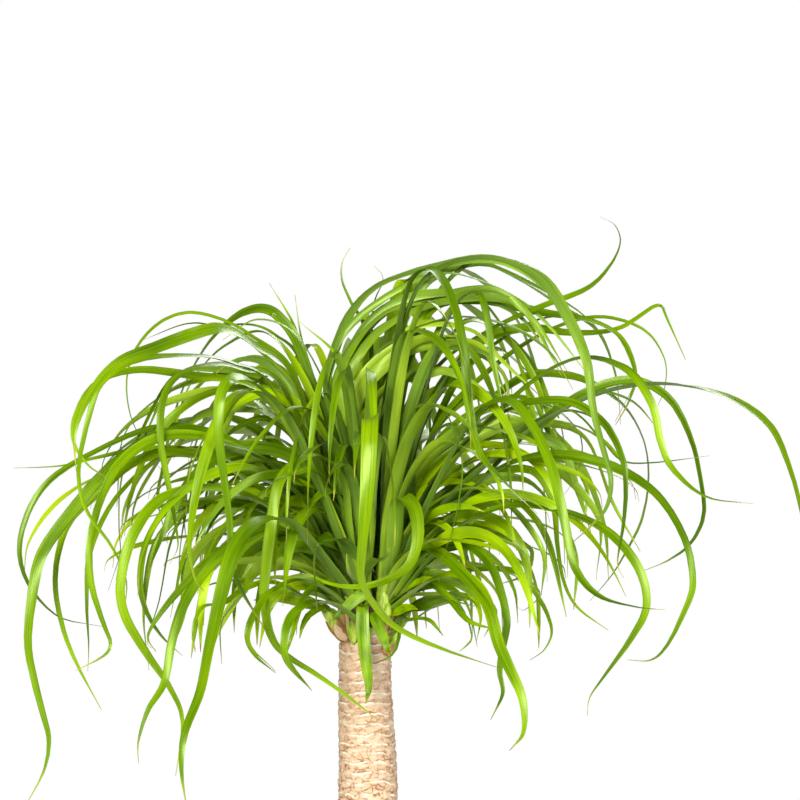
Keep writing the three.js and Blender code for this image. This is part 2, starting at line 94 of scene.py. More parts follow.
def addObject(name, bm, materials):  # a mesh object that takes over what bm holds
    mesh = bpy.data.meshes.new(name)
    bm.to_mesh(mesh)
    bm.free()
    for material in materials:
        mesh.materials.append(material)
    added = bpy.data.objects.new(name, mesh)
    bpy.context.scene.collection.objects.link(added)
    return added


def finishPiece(name, bm, materials, replaced=()):
    piece = addObject(name, bm, materials)
    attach(piece, "root")
    if replaced:
        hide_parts(*replaced)
    return piece


# Materials

def setStops(ramp, stops):  # stops are (place, hex colour)
    while len(ramp.elements) < len(stops):
        ramp.elements.new(0.5)
    for element, (place, colour) in zip(ramp.elements, stops):
        element.position = place
        element.color = linear(colour)


# Sockets go by name or number. A Mix node's share is at 0, its colours at 6 and 7, their mixture at 2.
def addNode(tree, kind, settings=None, links=None, output=0):
    node = tree.nodes.new("ShaderNode" + kind)
    for name, value in (settings or {}).items():
        if name == "stops":
            setStops(node.color_ramp, value)
        elif isinstance(name, int) or name in node.inputs:
            node.inputs[name].default_value = value
        else:
            setattr(node, name, value)
    for name, source in (links or {}).items():
        tree.links.new(source, node.inputs[name])
    return node.outputs[output] if node.outputs else None


def newMaterial(name):
    material = bpy.data.materials.new(name)
    material.use_nodes = True
    material.node_tree.nodes.clear()
    return material, material.node_tree


def showThrough(tree, surface, colour, part):  # a thin blade, which lets part of the light through
    glow = addNode(tree, "BsdfTranslucent", links={"Color": colour})
    return addNode(tree, "MixShader", {0: part}, {1: surface, 2: glow})


def makeTerracotta():  # fired terracotta clay, pressed and turned: dry, chalky, with a pale bloom low down
    material, tree = newMaterial("fired terracotta")
    place = addNode(tree, "TexCoord", output="Object")
    height = addNode(tree, "SeparateXYZ", links={"Vector": place}, output="Z")
    blotches = addNode(tree, "TexNoise", {"Scale": 1 / (45 * mm), "Detail": 5, "Roughness": 0.6},
                       {"Vector": place})
    grit = addNode(tree, "TexNoise", {"Scale": 1 / (1.6 * mm), "Detail": 3}, {"Vector": place})
    turned = addNode(tree, "Mapping", {"Scale": (2.0, 2.0, 60.0)}, {"Vector": place})
    lines = addNode(tree, "TexNoise", {"Scale": 6.0, "Detail": 4}, {"Vector": turned})
    colour = addNode(tree, "ValToRGB", {"stops": [(0.3, "9c4f2f"), (0.5, "b9653f"), (0.72, "cf8259")]},
                     {"Fac": blotches})
    specks = addNode(tree, "MapRange", {"From Min": 0.62, "From Max": 0.72, "To Max": 0.5}, {"Value": grit})
    lowDown = addNode(tree, "MapRange", {"From Max": 0.09, "To Min": 0.55, "To Max": 0.0}, {"Value": height})
    patches = addNode(tree, "MapRange", {"From Min": 0.45, "From Max": 0.7}, {"Value": blotches})
    bloom = addNode(tree, "Math", {"operation": "MULTIPLY"}, {0: lowDown, 1: patches})
    for mask, tint in ((specks, "d9a07c"), (bloom, "dcc6b4")):
        colour = addNode(tree, "Mix", {"data_type": "RGBA", 7: linear(tint)}, {0: mask, 6: colour}, 2)
    ridges = addNode(tree, "MapRange", {"To Max": 0.7}, {"Value": lines})
    relief = addNode(tree, "Math", {"operation": "ADD"}, {0: ridges, 1: grit})
    bump = addNode(tree, "Bump", {"Strength": 0.5, "Distance": 0.4 * mm}, {"Height": relief})
    surface = addNode(tree, "BsdfPrincipled", {"Roughness": 0.86, "IOR": 1.5, "Specular IOR Level": 0.3},
                      {"Base Color": colour, "Normal": bump})
    addNode(tree, "OutputMaterial", links={"Surface": surface})
    return material


def makeCompost():  # moist peat with bark fines: dark, crumbly, with paler fibres
    material, tree = newMaterial("peat compost")
    place = addNode(tree, "TexCoord", output="Object")
    tone = addNode(tree, "Attribute", {"attribute_name": "tone"}, output="Fac")
    lumps = addNode(tree, "TexNoise", {"Scale": 1 / (7 * mm), "Detail": 6, "Roughness": 0.7},
                    {"Vector": place})
    grains = addNode(tree, "TexVoronoi", {"Scale": 1 / (2.2 * mm)}, {"Vector": place})
    paleness = addNode(tree, "Math", {"operation": "MULTIPLY_ADD", 1: 0.7}, {0: tone, 2: lumps})
    colour = addNode(tree, "ValToRGB", {
        "stops": [(0.3, "1f1610"), (0.6, "3a291c"), (0.95, "6b4c33"), (1.0, "8d6b49")]}, {"Fac": paleness})
    bump = addNode(tree, "Bump", {"Strength": 0.8, "Distance": 1.2 * mm}, {"Height": grains})
    surface = addNode(tree, "BsdfPrincipled", {"Roughness": 0.92, "IOR": 1.45, "Specular IOR Level": 0.3},
                      {"Base Color": colour, "Normal": bump})
    addNode(tree, "OutputMaterial", links={"Surface": surface})
    return material


def makeBark():  # corky bark: matt and peach, with broken lips on its rings painted pale as a highlight, wrinkles, brown cracks and painted shade under the crown
    material, tree = newMaterial("corky bark")
    place = addNode(tree, "TexCoord", output="Object")
    height = addNode(tree, "SeparateXYZ", links={"Vector": place}, output="Z")
    crack, ring = [addNode(tree, "Attribute", {"attribute_name": name}, output="Fac")
                   for name in ("crack", "ring")]
    flat = addNode(tree, "Mapping", {"Scale": (1.0, 1.0, 3.0)}, {"Vector": place})
    streaks = addNode(tree, "TexNoise", {"Scale": 1 / (14 * mm), "Detail": 5, "Roughness": 0.6},
                      {"Vector": flat})
    fine = addNode(tree, "TexNoise", {"Scale": 1 / (2.5 * mm), "Detail": 4, "Roughness": 0.65},
                   {"Vector": flat})

    # each ring has a raised lip, painted pale as a highlight, and a dark seam, broken up by a noise that is
    # another one in every ring
    ragged = addNode(tree, "Math", {"operation": "MULTIPLY_ADD", 1: 0.3}, {0: fine, 2: ring})
    number = addNode(tree, "Math", {"operation": "FLOOR"}, {0: ragged})
    stacked = addNode(tree, "CombineXYZ", links={"Z": number})
    alongRing = addNode(tree, "Mapping", {"Scale": (90.0, 90.0, 0.0)}, {"Vector": place})
    perRing = addNode(tree, "VectorMath", {"operation": "MULTIPLY_ADD", 1: (0.0, 0.0, 3.7)},
                      {0: stacked, 2: alongRing})
    broken = addNode(tree, "TexNoise", {"Scale": 1.0, "Detail": 4, "Roughness": 0.6}, {"Vector": perRing})
    raised = addNode(tree, "Math", {"operation": "ADD", 1: 0.18}, {0: ragged})
    onStem = addNode(tree, "MapRange", {"From Min": 0.28, "From Max": 0.38}, {"Value": height})
    lipHighlightAndSeam = [  # where each lies, how wide it is and how often it is whole
        (raised, {"From Min": 0.05, "From Max": 0.12}, {"From Min": 0.44, "From Max": 0.6, "To Max": 0.9}),
        (ragged, {"From Min": 0.03, "From Max": 0.075},
         {"From Min": 0.52, "From Max": 0.62, "To Min": 0.1, "To Max": 0.8}),
    ]
    marks = []
    for middle, width, often in lipHighlightAndSeam:
        distance = addNode(tree, "Math", {"operation": "PINGPONG", 1: 0.5}, {0: middle})
        near = addNode(tree, "MapRange", {**width, "To Min": 1, "To Max": 0}, {"Value": distance})
        whole = addNode(tree, "MapRange", often, {"Value": broken})
        mark = addNode(tree, "Math", {"operation": "MULTIPLY"}, {0: near, 1: whole})
        marks.append(addNode(tree, "Math", {"operation": "MULTIPLY"}, {0: mark, 1: onStem}))
    lipHighlight, seam = marks

    # the wrinkles are a bent net of fine lines, fainter towards the crown and where the cork is pale
    wander = addNode(tree, "TexNoise", {"Scale": 1 / (8 * mm)}, {"Vector": place}, "Color")
    bent = addNode(tree, "VectorMath", {"operation": "MULTIPLY_ADD", 1: (5 * mm, 5 * mm, 5 * mm)},
                   {0: wander, 2: place})
    net = addNode(tree, "TexVoronoi", {"feature": "DISTANCE_TO_EDGE", "Scale": 1 / (8 * mm)},
                  {"Vector": bent})
    line = addNode(tree, "MapRange", {"From Min": 0.015, "From Max": 0.07, "To Min": 1, "To Max": 0},
                   {"Value": net})
    lower = addNode(tree, "MapRange", {"From Min": 0.56, "From Max": 0.66, "To Min": 1, "To Max": 0.55},
                    {"Value": height})
    darker = addNode(tree, "MapRange", {"From Min": 0.44, "From Max": 0.58, "To Min": 1, "To Max": 0.15},
                     {"Value": streaks})
    dark = addNode(tree, "Math", {"operation": "MULTIPLY"}, {0: lower, 1: darker})
    wrinkle = addNode(tree, "Math", {"operation": "MULTIPLY"}, {0: line, 1: dark})

    specks = addNode(tree, "MapRange", {"From Min": 0.61, "From Max": 0.68, "To Max": 0.7}, {"Value": fine})
    # painted shade: darker brown patches on the trunk's top, just under the crown
    upper = addNode(tree, "MapRange", {"From Min": 0.69, "From Max": 0.722}, {"Value": height})
    patches = addNode(tree, "MapRange", {"From Min": 0.35, "From Max": 0.6, "To Min": 0.9, "To Max": 0.35},
                      {"Value": streaks})
    shoulder = addNode(tree, "Math", {"operation": "MULTIPLY"}, {0: upper, 1: patches})
    colour = addNode(tree, "ValToRGB", {
        "stops": [(0.3, "a98665"), (0.42, "c1a283"), (0.56, "ceb598"), (0.72, "dac9af")]}, {"Fac": streaks})
    # the near-white lip tint is a painted highlight along each ring's raised lip
    for mask, tint in ((wrinkle, "8c5d39"), (specks, "8f5f3a"), (seam, "8a5c38"), (lipHighlight, "f4ebd7"),
                       (shoulder, "96643f"), (crack, "6e482d")):
        colour = addNode(tree, "Mix", {"data_type": "RGBA", 7: linear(tint)}, {0: mask, 6: colour}, 2)

    stepped = addNode(tree, "Math", {"operation": "SUBTRACT"}, {0: lipHighlight, 1: seam})
    wrinkled = addNode(tree, "Math", {"operation": "MULTIPLY_ADD", 1: -0.8}, {0: wrinkle, 2: stepped})
    relief = addNode(tree, "Math", {"operation": "ADD"}, {0: wrinkled, 1: fine})
    bump = addNode(tree, "Bump", {"Strength": 0.7, "Distance": 0.9 * mm}, {"Height": relief})
    surface = addNode(tree, "BsdfPrincipled", {"Roughness": 0.88, "IOR": 1.45, "Specular IOR Level": 0.25},
                      {"Base Color": colour, "Normal": bump})
    addNode(tree, "OutputMaterial", links={"Surface": surface})
    return material


def makeDeadWood():  # the cut end of the trunk: weathered to a dark brown, fibrous
    material, tree = newMaterial("weathered cut wood")
    place = addNode(tree, "TexCoord", output="Object")
    upright = addNode(tree, "Mapping", {"Scale": (1.0, 1.0, 0.25)}, {"Vector": place})
    fibre = addNode(tree, "TexNoise", {"Scale": 1 / (3 * mm), "Detail": 5}, {"Vector": upright})
    colour = addNode(tree, "ValToRGB", {"stops": [(0.3, "20160f"), (0.52, "3f2c1d"), (0.75, "7a5638")]},
                     {"Fac": fibre})
    bump = addNode(tree, "Bump", {"Strength": 0.8, "Distance": 1.0 * mm}, {"Height": fibre})
    surface = addNode(tree, "BsdfPrincipled", {"Roughness": 0.9, "IOR": 1.45},
                      {"Base Color": colour, "Normal": bump})
    addNode(tree, "OutputMaterial", links={"Surface": surface})
    return material


def makeDrySheath():  # dead leaf base: papery, thin enough to glow, cream going to rust brown
    material, tree = newMaterial("dry papery sheath")
    across, along, tone = [addNode(tree, "Attribute", {"attribute_name": name}, output="Fac")
                           for name in ("across", "along", "tone")]
    place = addNode(tree, "CombineXYZ", links={"X": across, "Y": along, "Z": tone})
    fibres = addNode(tree, "Mapping", {"Scale": (9.0, 1.5, 40.0)}, {"Vector": place})
    streaks = addNode(tree, "TexNoise", {"Scale": 1.0, "Detail": 5}, {"Vector": fibres})
    brownness = addNode(tree, "Math", {"operation": "MULTIPLY_ADD", 1: 0.35}, {0: tone, 2: streaks})
    colour = addNode(tree, "ValToRGB", {
        "stops": [(0.45, "efdab4"), (0.62, "dbae78"), (0.8, "b0713b"), (0.95, "5f3a20")]}, {"Fac": brownness})
    bump = addNode(tree, "Bump", {"Strength": 0.6, "Distance": 0.5 * mm}, {"Height": streaks})
    surface = addNode(tree, "BsdfPrincipled", {"Roughness": 0.6, "IOR": 1.45},
                      {"Base Color": colour, "Normal": bump})
    addNode(tree, "OutputMaterial", links={"Surface": showThrough(tree, surface, colour, 0.25)})
    return material


def makeLivingLeaf():  # tough strap leaf: satin cuticle, fine veins along it, green light through it
    material, tree = newMaterial("living strap leaf")
    across, along, tone, underside = [addNode(tree, "Attribute", {"attribute_name": name}, output="Fac")
                                      for name in ("across", "along", "tone", "under")]
    place = addNode(tree, "CombineXYZ", links={"X": across, "Y": along, "Z": tone})
    # real veins are 0.5 mm apart, too fine to show, so these are drawn three times as coarse
    veins = addNode(tree, "Mapping", {"Scale": (0.65, 3.0, 60.0)}, {"Vector": place})
    stripes = addNode(tree, "TexNoise", {"Scale": 1.0, "Detail": 3}, {"Vector": veins})
    broad = addNode(tree, "Mapping", {"Scale": (0.08, 6.0, 25.0)}, {"Vector": place})
    clouds = addNode(tree, "TexNoise", {"Scale": 1.0, "Detail": 2}, {"Vector": broad})
    leafTone = addNode(tree, "MapRange", {"To Min": 0.1, "To Max": 0.64}, {"Value": tone})
    striped = addNode(tree, "Math", {"operation": "MULTIPLY_ADD", 1: 0.6}, {0: stripes, 2: leafTone})
    clouded = addNode(tree, "Math", {"operation": "MULTIPLY_ADD", 1: 0.8}, {0: clouds, 2: striped})
    paleness = addNode(tree, "MapRange", {"From Min": 0.55, "From Max": 1.65}, {"Value": clouded})
    backing = addNode(tree, "MapRange", {"To Max": 0.22}, {"Value": underside})
    atRoot = addNode(tree, "MapRange", {"From Max": 0.1, "To Min": 0.5, "To Max": 0.0}, {"Value": along})
    atTip = addNode(tree, "MapRange", {"From Min": 0.94, "To Max": 0.8}, {"Value": along})
    tipEnd = addNode(tree, "MapRange", {"From Min": 0.965, "From Max": 0.985}, {"Value": along})
    someLeaves = addNode(tree, "MapRange", {"From Min": 0.82, "From Max": 0.9}, {"Value": tone})
    dryTip = addNode(tree, "Math", {"operation": "MULTIPLY"}, {0: tipEnd, 1: someLeaves})
    colour = addNode(tree, "ValToRGB", {
        "stops": [(0.0, "385800"), (0.25, "608600"), (0.5, "86ac00"), (0.75, "a8c904"), (1.0, "c3db18")]},
        {"Fac": paleness})
    for mask, tint in ((backing, "86a65c"), (atRoot, "c4da5e"), (atTip, "c9bd4a"), (dryTip, "a8713c")):
        colour = addNode(tree, "Mix", {"data_type": "RGBA", 7: linear(tint)}, {0: mask, 6: colour}, 2)
    bump = addNode(tree, "Bump", {"Strength": 0.28, "Distance": 0.5 * mm}, {"Height": stripes})
    roughness = addNode(tree, "MapRange", {"From Min": 0.3, "From Max": 0.7, "To Min": 0.25, "To Max": 0.38},
                        {"Value": stripes})
    surface = addNode(tree, "BsdfPrincipled", {
        "IOR": 1.47, "Specular IOR Level": 0.62, "Specular Tint": linear("dcf8a4")},
        {"Base Color": colour, "Roughness": roughness, "Normal": bump})
    through = addNode(tree, "Mix", {"data_type": "RGBA", 0: 0.5, 7: linear("9ec200")}, {6: colour}, 2)
    addNode(tree, "OutputMaterial", links={"Surface": showThrough(tree, surface, through, 0.22)})
    return material


def makeYoungShoot():  # a bud's tight young sheath: pale, smooth and moist
    material, tree = newMaterial("young shoot")
    place = addNode(tree, "TexCoord", output="Object")
    upright = addNode(tree, "Mapping", {"Scale": (1.0, 1.0, 0.2)}, {"Vector": place})
    veins = addNode(tree, "TexNoise", {"Scale": 1 / (3 * mm), "Detail": 3}, {"Vector": upright})
    colour = addNode(tree, "ValToRGB", {"stops": [(0.3, "6f9a18"), (0.5, "a8c62e"), (0.7, "cfdd6a")]},
                     {"Fac": veins})
    surface = addNode(tree, "BsdfPrincipled", {"Roughness": 0.4, "IOR": 1.45}, {"Base Color": colour})
    addNode(tree, "OutputMaterial", links={"Surface": showThrough(tree, surface, colour, 0.2)})
    return material


terracotta = makeTerracotta()
compost = makeCompost()
bark = makeBark()
deadWood = makeDeadWood()
drySheath = makeDrySheath()
livingLeaf = makeLivingLeaf()
youngShoot = makeYoungShoot()
print("materials made")


# Turned shapes

def smoothCourse(points, count, finer=12):  # count + 1 points at equal steps along a curve, and its length
    ends = [2 * points[0] - points[1], *points, 2 * points[-1] - points[-2]]
    fine = []
    for a, b, c, d in zip(ends, ends[1:], ends[2:], ends[3:]):
        for step in range(finer):
            t = step / finer
            fine.append(0.5 * (2 * b + (c - a) * t + (2 * a - 5 * b + 4 * c - d) * t * t
                               + (3 * b - a - 3 * c + d) * t ** 3))
    fine.append(points[-1].copy())
    lengths = [0.0]
    for a, b in zip(fine, fine[1:]):
        lengths.append(lengths[-1] + (b - a).length)
    course, index = [], 0
    for number in range(count + 1):
        wanted = lengths[-1] * number / count
        while index < len(fine) - 2 and lengths[index + 1] < wanted:
            index += 1
        part = (wanted - lengths[index]) / max(lengths[index + 1] - lengths[index], 1e-12)
        course.append(fine[index].lerp(fine[index + 1], clamp(part)))
    return course, lengths[-1]


sharpFrom = math.radians(25)  # an edge that bends by more than this is rounded


def spunShape(outline, sides, rounding=0.0):  # outline is (radius, height) in mm, from axis to axis
    bm = bmesh.new()
    line = [bm.verts.new((radius * mm, 0, height * mm)) for radius, height in outline]
    edges = [bm.edges.new(pair) for pair in zip(line, line[1:])]
    bmesh.ops.spin(bm, geom=line + edges, cent=(0, 0, 0), axis=(0, 0, 1), dvec=(0, 0, 0), angle=2 * math.pi,
                   steps=sides, use_merge=True)
    bmesh.ops.remove_doubles(bm, verts=bm.verts, dist=weld)
    bmesh.ops.recalc_face_normals(bm, faces=bm.faces)
    if rounding:
        sharp = [e for e in bm.edges if len(e.link_faces) == 2 and e.calc_face_angle() > sharpFrom]
        bmesh.ops.bevel(bm, geom=sharp, offset=rounding * mm, offset_type="OFFSET", segments=3, profile=0.5,
                        affect="EDGES", material=-1)
    for face in bm.faces:
        face.smooth = True
    return bm


def ringTube(bm, sides, stretches):  # a closed upright tube of unit radius and length, cut into stretches
    before = len(bm.verts)
    ends = bmesh.ops.create_cone(bm, cap_ends=True, segments=sides, radius1=1, radius2=1, depth=1)["verts"]
    uprights = {e for v in ends for e in v.link_edges if abs(e.verts[0].co.z - e.verts[1].co.z) > 0.5}
    bmesh.ops.subdivide_edges(bm, edges=list(uprights), cuts=stretches - 1, use_grid_fill=False)
    bm.verts.ensure_lookup_table()
    return bm.verts[before:]


def ringOf(vert, stretches):  # which ring of such a tube a point is on, before the tube is shaped
    return round((vert.co.z + 0.5) * stretches)


# Pot

potSize = {
    "height": 215, "wall": 8, "floor": 10, "footRadius": 88, "footBevel": 3, "rimRadius": 126,
    "bandHeight": 34, "bandStep": 6, "bandRounding": 5, "rounding": 1.6, "sides": 128,
    "drainHoles": 5, "drainRadius": 6, "drainRing": 52, "drainSides": 24,
}


def potOuterRadius(height):
    return mix(potSize["footRadius"], potSize["rimRadius"] - potSize["bandStep"], height / potSize["height"])


def makePot():
    s = potSize
    rim, top, band, soft = s["rimRadius"], s["height"], s["height"] - s["bandHeight"], s["bandRounding"]
    innerTop = potOuterRadius(top) - s["wall"]
    innerFoot = potOuterRadius(s["floor"]) - s["wall"]
    bm = spunShape([
        (0, 0), (s["footRadius"] - s["footBevel"], 0), (s["footRadius"], s["footBevel"]),
        (potOuterRadius(band), band), (rim - 0.4 * soft, band + 0.4 * soft), (rim, band + soft),
        (rim, top - soft), (rim - 0.6 * soft, top - 0.2 * soft), (rim - 1.2 * soft, top),
        (innerTop + 0.4 * soft, top), (innerTop, top - 0.6 * soft), (innerFoot, s["floor"]), (0, s["floor"]),
    ], s["sides"], s["rounding"])
    pot = finishPiece("clay_pot", bm, [terracotta], ["pot"])
    drill = bmesh.new()
    for hole in range(s["drainHoles"]):
        bearing = math.pi / 2 + 2 * math.pi * hole / s["drainHoles"]
        place = Matrix.Translation(around(bearing, s["drainRing"] * mm, 0))
        bmesh.ops.create_cone(drill, cap_ends=True, segments=s["drainSides"], radius1=s["drainRadius"] * mm,
                              radius2=s["drainRadius"] * mm, depth=4 * s["floor"] * mm, matrix=place)
    driller = addObject("drill", drill, [])
    cut = pot.modifiers.new("drain holes", "BOOLEAN")
    cut.operation, cut.solver, cut.object = "DIFFERENCE", "EXACT", driller
    drilled = bpy.data.meshes.new_from_object(pot.evaluated_get(bpy.context.evaluated_depsgraph_get()))
    pot.modifiers.clear()
    pot.data = drilled
    bpy.data.objects.remove(driller)


makePot()
print("pot made")


# Trunk

trunkSize = {
    "outline": [(0, 128), (30, 132), (50, 150), (65, 174), (72, 194), (74, 212), (70, 232), (58, 256),
                (47, 284), (40, 320), (36, 370), (33, 430), (31, 490), (29.3, 540), (27.6, 600), (25.6, 660),
                (25.4, 696), (24.6, 712), (19, 722), (13, 728), (9, 734), (0, 735)],
    "sides": 120, "rings": 430, "stumpFrom": 719, "lean": -3, "leanFrom": 560, "leanTo": 660,
    "roughFrom": 150, "roughBy": 200, "smoothFrom": 716, "smoothBy": 724,  # where the relief comes and goes
}

barkSize = {
    "ringSpacing": 10, "ringHeight": 1.2, "faintestRing": 0.45, "ringRisesBy": 0.5, "ringDropsFrom": 0.88,
    "ringWaves": [(0.55, 1.2, 0.016), (0.2, 3.5, 0.05)],  # how far rings stray, with the pace round and up
    "lumpsRound": 6, "lumpsUp": 0.09, "stemLumps": 0.6, "footLumps": 0.7,
    "grooveAt": 700, "grooveDepth": 3.0, "grooveWidth": 2.5, "grooveStray": 3,  # on the stem's left side
    "stemFrom": 285, "stemBy": 380,  # the foot's corky plates end between these heights
    "plateSize": 21, "plateDepth": 2.2, "plateRadius": 62, "plateStray": 0.35, "crackWidth": 0.2,
    "plateSeed": 1795878509,  # another one bends the foot's cracks another way
}


def barkRelief(turn, height):  # how far the bark stands out in mm, its ring's number, and how deep a crack is
    s = barkSize
    ring = height / s["ringSpacing"]
    for size, paceRound, paceUp in s["ringWaves"]:
        ring += size * noise.noise(around(turn, paceRound, height * paceUp))
    part = ring - math.floor(ring)
    strength = mix(s["faintestRing"], 1, chance(math.floor(ring), 1))
    step = fade(part, 0.0, s["ringRisesBy"]) * (1 - fade(part, s["ringDropsFrom"], 1.0)) * strength
    lumps = fourOctaves(around(turn, s["lumpsRound"], height * s["lumpsUp"]))
    offGroove = (height - s["grooveAt"] + s["grooveStray"] * lumps) / s["grooveWidth"]
    groove = math.exp(-offGroove ** 2) * fade(-math.cos(turn), -0.2, 0.6)
    stemRelief = s["ringHeight"] * step + s["stemLumps"] * lumps - s["grooveDepth"] * groove
    onStem = fade(height, s["stemFrom"], s["stemBy"])
    if onStem >= 1:
        return stemRelief, ring, 0.95 * groove
    stray = s["plateStray"] * noise.noise_vector(around(turn, 3, height * 0.05))
    place = around(turn, s["plateRadius"] / s["plateSize"], height / s["plateSize"]) + stray
    nearer, farther = noise.voronoi(place)[0][:2]
    plate = fade(farther - nearer, 0.02, s["crackWidth"])
    footRelief = s["plateDepth"] * (plate - 0.6) + s["footLumps"] * lumps
    return mix(footRelief, stemRelief, onStem), ring, 0.9 * (1 - plate) * (1 - onStem)


def makeTrunk():
    s = trunkSize
    noise.seed_set(barkSize["plateSeed"])  # noise_vector starts from the clock where no seed is set
    outline = [Vector((radius * mm, 0, height * mm)) for radius, height in s["outline"]]
    course, _ = smoothCourse(outline, s["rings"])
    bm = bmesh.new()
    crack = bm.verts.layers.float.new("crack")
    ring = bm.verts.layers.float.new("ring")
    for v in ringTube(bm, s["sides"], s["rings"]):
        base = course[ringOf(v, s["rings"])]
        turn = math.atan2(v.co.y, v.co.x)
        height = base.z / mm
        relief, v[ring], v[crack] = barkRelief(turn, height)
        strength = fade(height, s["roughFrom"], s["roughBy"])
        strength *= 1 - fade(height, s["smoothFrom"], s["smoothBy"])
        radius = max(base.x + relief * strength * mm, 0) if base.x > weld else 0
        shift = s["lean"] * mm * fade(height, s["leanFrom"], s["leanTo"])
        v.co = (radius * math.cos(turn) + shift, radius * math.sin(turn), base.z)
    bmesh.ops.remove_doubles(bm, verts=bm.verts, dist=weld)
    bmesh.ops.recalc_face_normals(bm, faces=bm.faces)
    for face in bm.faces:
        face.smooth = True
        face.material_index = 1 if face.calc_center_median().z > s["stumpFrom"] * mm else 0
    finishPiece("ringed_trunk", bm, [bark, deadWood], ["trunk"])


makeTrunk()
print("trunk made")


# Soil

soilSize = {
    "bottom": 10.3, "top": 191, "crest": 195, "wallGap": 0.9, "footGap": 0.3, "sides": 120,
    "lipHighlight": 73.2, "lipDrop": 1, "wallDrop": 3, "topSteps": 10,  # the surface falls from the foot to the pot
    "roughness": 1.6, "roughSpan": 9,
    "crumbs": 420, "crumbSmallest": 1.2, "crumbLargest": 4.2, "crumbRise": 0.3,
}


def soilRadius(height):
    return potOuterRadius(height) - potSize["wall"] - soilSize["wallGap"]


def soilHeight(outward):  # of the surface, at a share of the way from the foot to the pot's wall
    s = soilSize
    return mix(s["crest"] - s["lipDrop"], s["top"] - s["wallDrop"], outward ** 3)


def addCrumb(bm, tone, number, edge):
    s = soilSize
    outward = chance(number, 2)
    radius = mix(s["lipHighlight"] + 2, edge - 3, outward)  # mm, just clear of the foot and the pot's wall
    size = mix(s["crumbSmallest"], s["crumbLargest"], chance(number, 3) ** 3)
    height = soilHeight(outward) + s["crumbRise"] * size
    place = Matrix.Translation(around(2 * math.pi * chance(number, 1), radius * mm, height * mm))
    tilt = Matrix.Rotation(6 * chance(number, 4), 4, (chance(number, 5), chance(number, 6), 0.4))
    stretch = Matrix.Diagonal((1 + chance(number, 7), 1, 0.6 + 0.4 * chance(number, 8), 1))
    crumb = bmesh.ops.create_icosphere(bm, subdivisions=1, radius=size * mm, matrix=place @ tilt @ stretch)
    for v in crumb["verts"]:
        v[tone] = chance(number, 9) ** 2


def makeSoil():
    s = soilSize
    buried = [(radius + s["footGap"] if radius else 0, height - s["footGap"])
              for radius, height in trunkSize["outline"] if height < s["top"]]
    edge = soilRadius(s["top"] - s["wallDrop"])
    steps = [step / s["topSteps"] for step in range(s["topSteps"] + 1)]
    surface = [(mix(s["lipHighlight"], edge, outward), soilHeight(outward)) for outward in steps]
    bm = spunShape([*buried, *surface, (soilRadius(s["bottom"]), s["bottom"]), (0, s["bottom"])], s["sides"])
    for v in bm.verts:  # rough on top, and plain where it meets the foot and the pot
        if v.co.z > (s["top"] - 4) * mm and s["lipHighlight"] * mm < v.co.xy.length < (edge - 2) * mm:
            v.co.z += s["roughness"] * mm * fourOctaves(v.co / (s["roughSpan"] * mm))
    tone = bm.verts.layers.float.new("tone")
    for number in range(s["crumbs"]):
        addCrumb(bm, tone, number, edge)
    finishPiece("potting_compost", bm, [compost], ["potting_soil"])


makeSoil()
print("soil made")


# Leafy heads

crownSize = {"height": 735, "ringRadius": 22, "rootSpread": 8, "lowestRoot": -24, "highestRoot": 16}
heart = Vector((0, 0, crownSize["height"]))

budSize = {
    "outline": [(0, -41), (6, -38), (9.3, -28), (10, -16.4), (9.3, 0), (6, 21), (0, 30)],
    "sides": 20, "rings": 14, "ribs": 5, "ribHeight": 0.06, "ribTwist": 0.1,
}

# Small side shoots on the trunk's shoulder: head, centre from the crown's heart, size and lean to the right.
sideShoots = [
    ["left", (-37, -13, -12), 0.66, -34], ["front", (-16, -26, -23), 0.56, 174],
    ["front_right", (19, -24, -10), 0.46, 8], ["front_right", (27, -17, -33), 0.42, 30],
    ["right", (33, 4, -18), 0.5, 42], ["back_left", (-24, 22, -20), 0.5, -34],
]

# Each head faces a bearing, 0 to the right and 90 to the back. Its fill leaves are those of the solids. Its
# spokes are finer leaves between them, which run straight out of the heart, the lowest at its tilt here.
heads = {
    "left": {"seed": 2, "bearing": 198, "fill": 11, "peak": 230, "reach": 230, "hem": 10,
             "spokes": 7, "spokesTo": 192, "lowest": 8},
    "front": {"seed": 2, "bearing": 258, "fill": 13, "peak": 250, "reach": 190, "hem": 60,
              "spokes": 14, "spokesTo": 205, "lowest": 30, "tones": (0.0, 0.5)},
    "front_right": {"seed": 8, "bearing": 318, "fill": 10, "peak": 290, "reach": 230, "hem": 30,
                    "spokes": 12, "spokesTo": 345, "lowest": 14},
    "right": {"seed": 2, "bearing": 18, "fill": 12, "peak": 310, "reach": 250, "hem": 20,
              "spokes": 7, "spokesTo": 8, "lowest": 8},
    "back": {"seed": 1, "bearing": 78, "fill": 22, "peak": 325, "reach": 300, "hem": 30,
             "spokes": 16, "spokesTo": 70, "lowest": 25},
    "back_left": {"seed": 5, "bearing": 138, "fill": 20, "peak": 270, "reach": 300, "hem": 20,
                  "spokes": 10, "spokesTo": 145, "lowest": 18},
}

leafSize = {
    "corners": 4,  # of its section: the two margins, the middle and the keel under it
    "slimness": 0.86, "atRoot": 0.75, "grownBy": 0.3, "fullTo": 4.2, "tipHalf": 0.3,  # a high fullTo is blunt
    "stretch": 9, "fewestStretches": 10, "mostStretches": 44, "bendWeight": 0.3, "samples": 120,
    "thickAtRoot": 1.4, "thickAtTip": 0.5, "channelAtRoot": 0.55, "channelAtTip": 0.2, "channelledTo": 0.6,
    "turnsOver": 0.45, "turnedBy": 0.5,  # it turns its face over this share of its length, by this place
    "wobble": 38, "placedWobble": 18, "wobbleEvery": 38, "wobbleShift": 40, "wobbleFrom": 0.05,
    # leaves placed one by one, mostly the outer, fully lit ones, take darker tones than the rest: painted
    # shade; within either range the tone is random
    "wobbleFull": 0.6, "tones": (0.3, 1.0), "placedTones": (-0.1, 0.4),
}

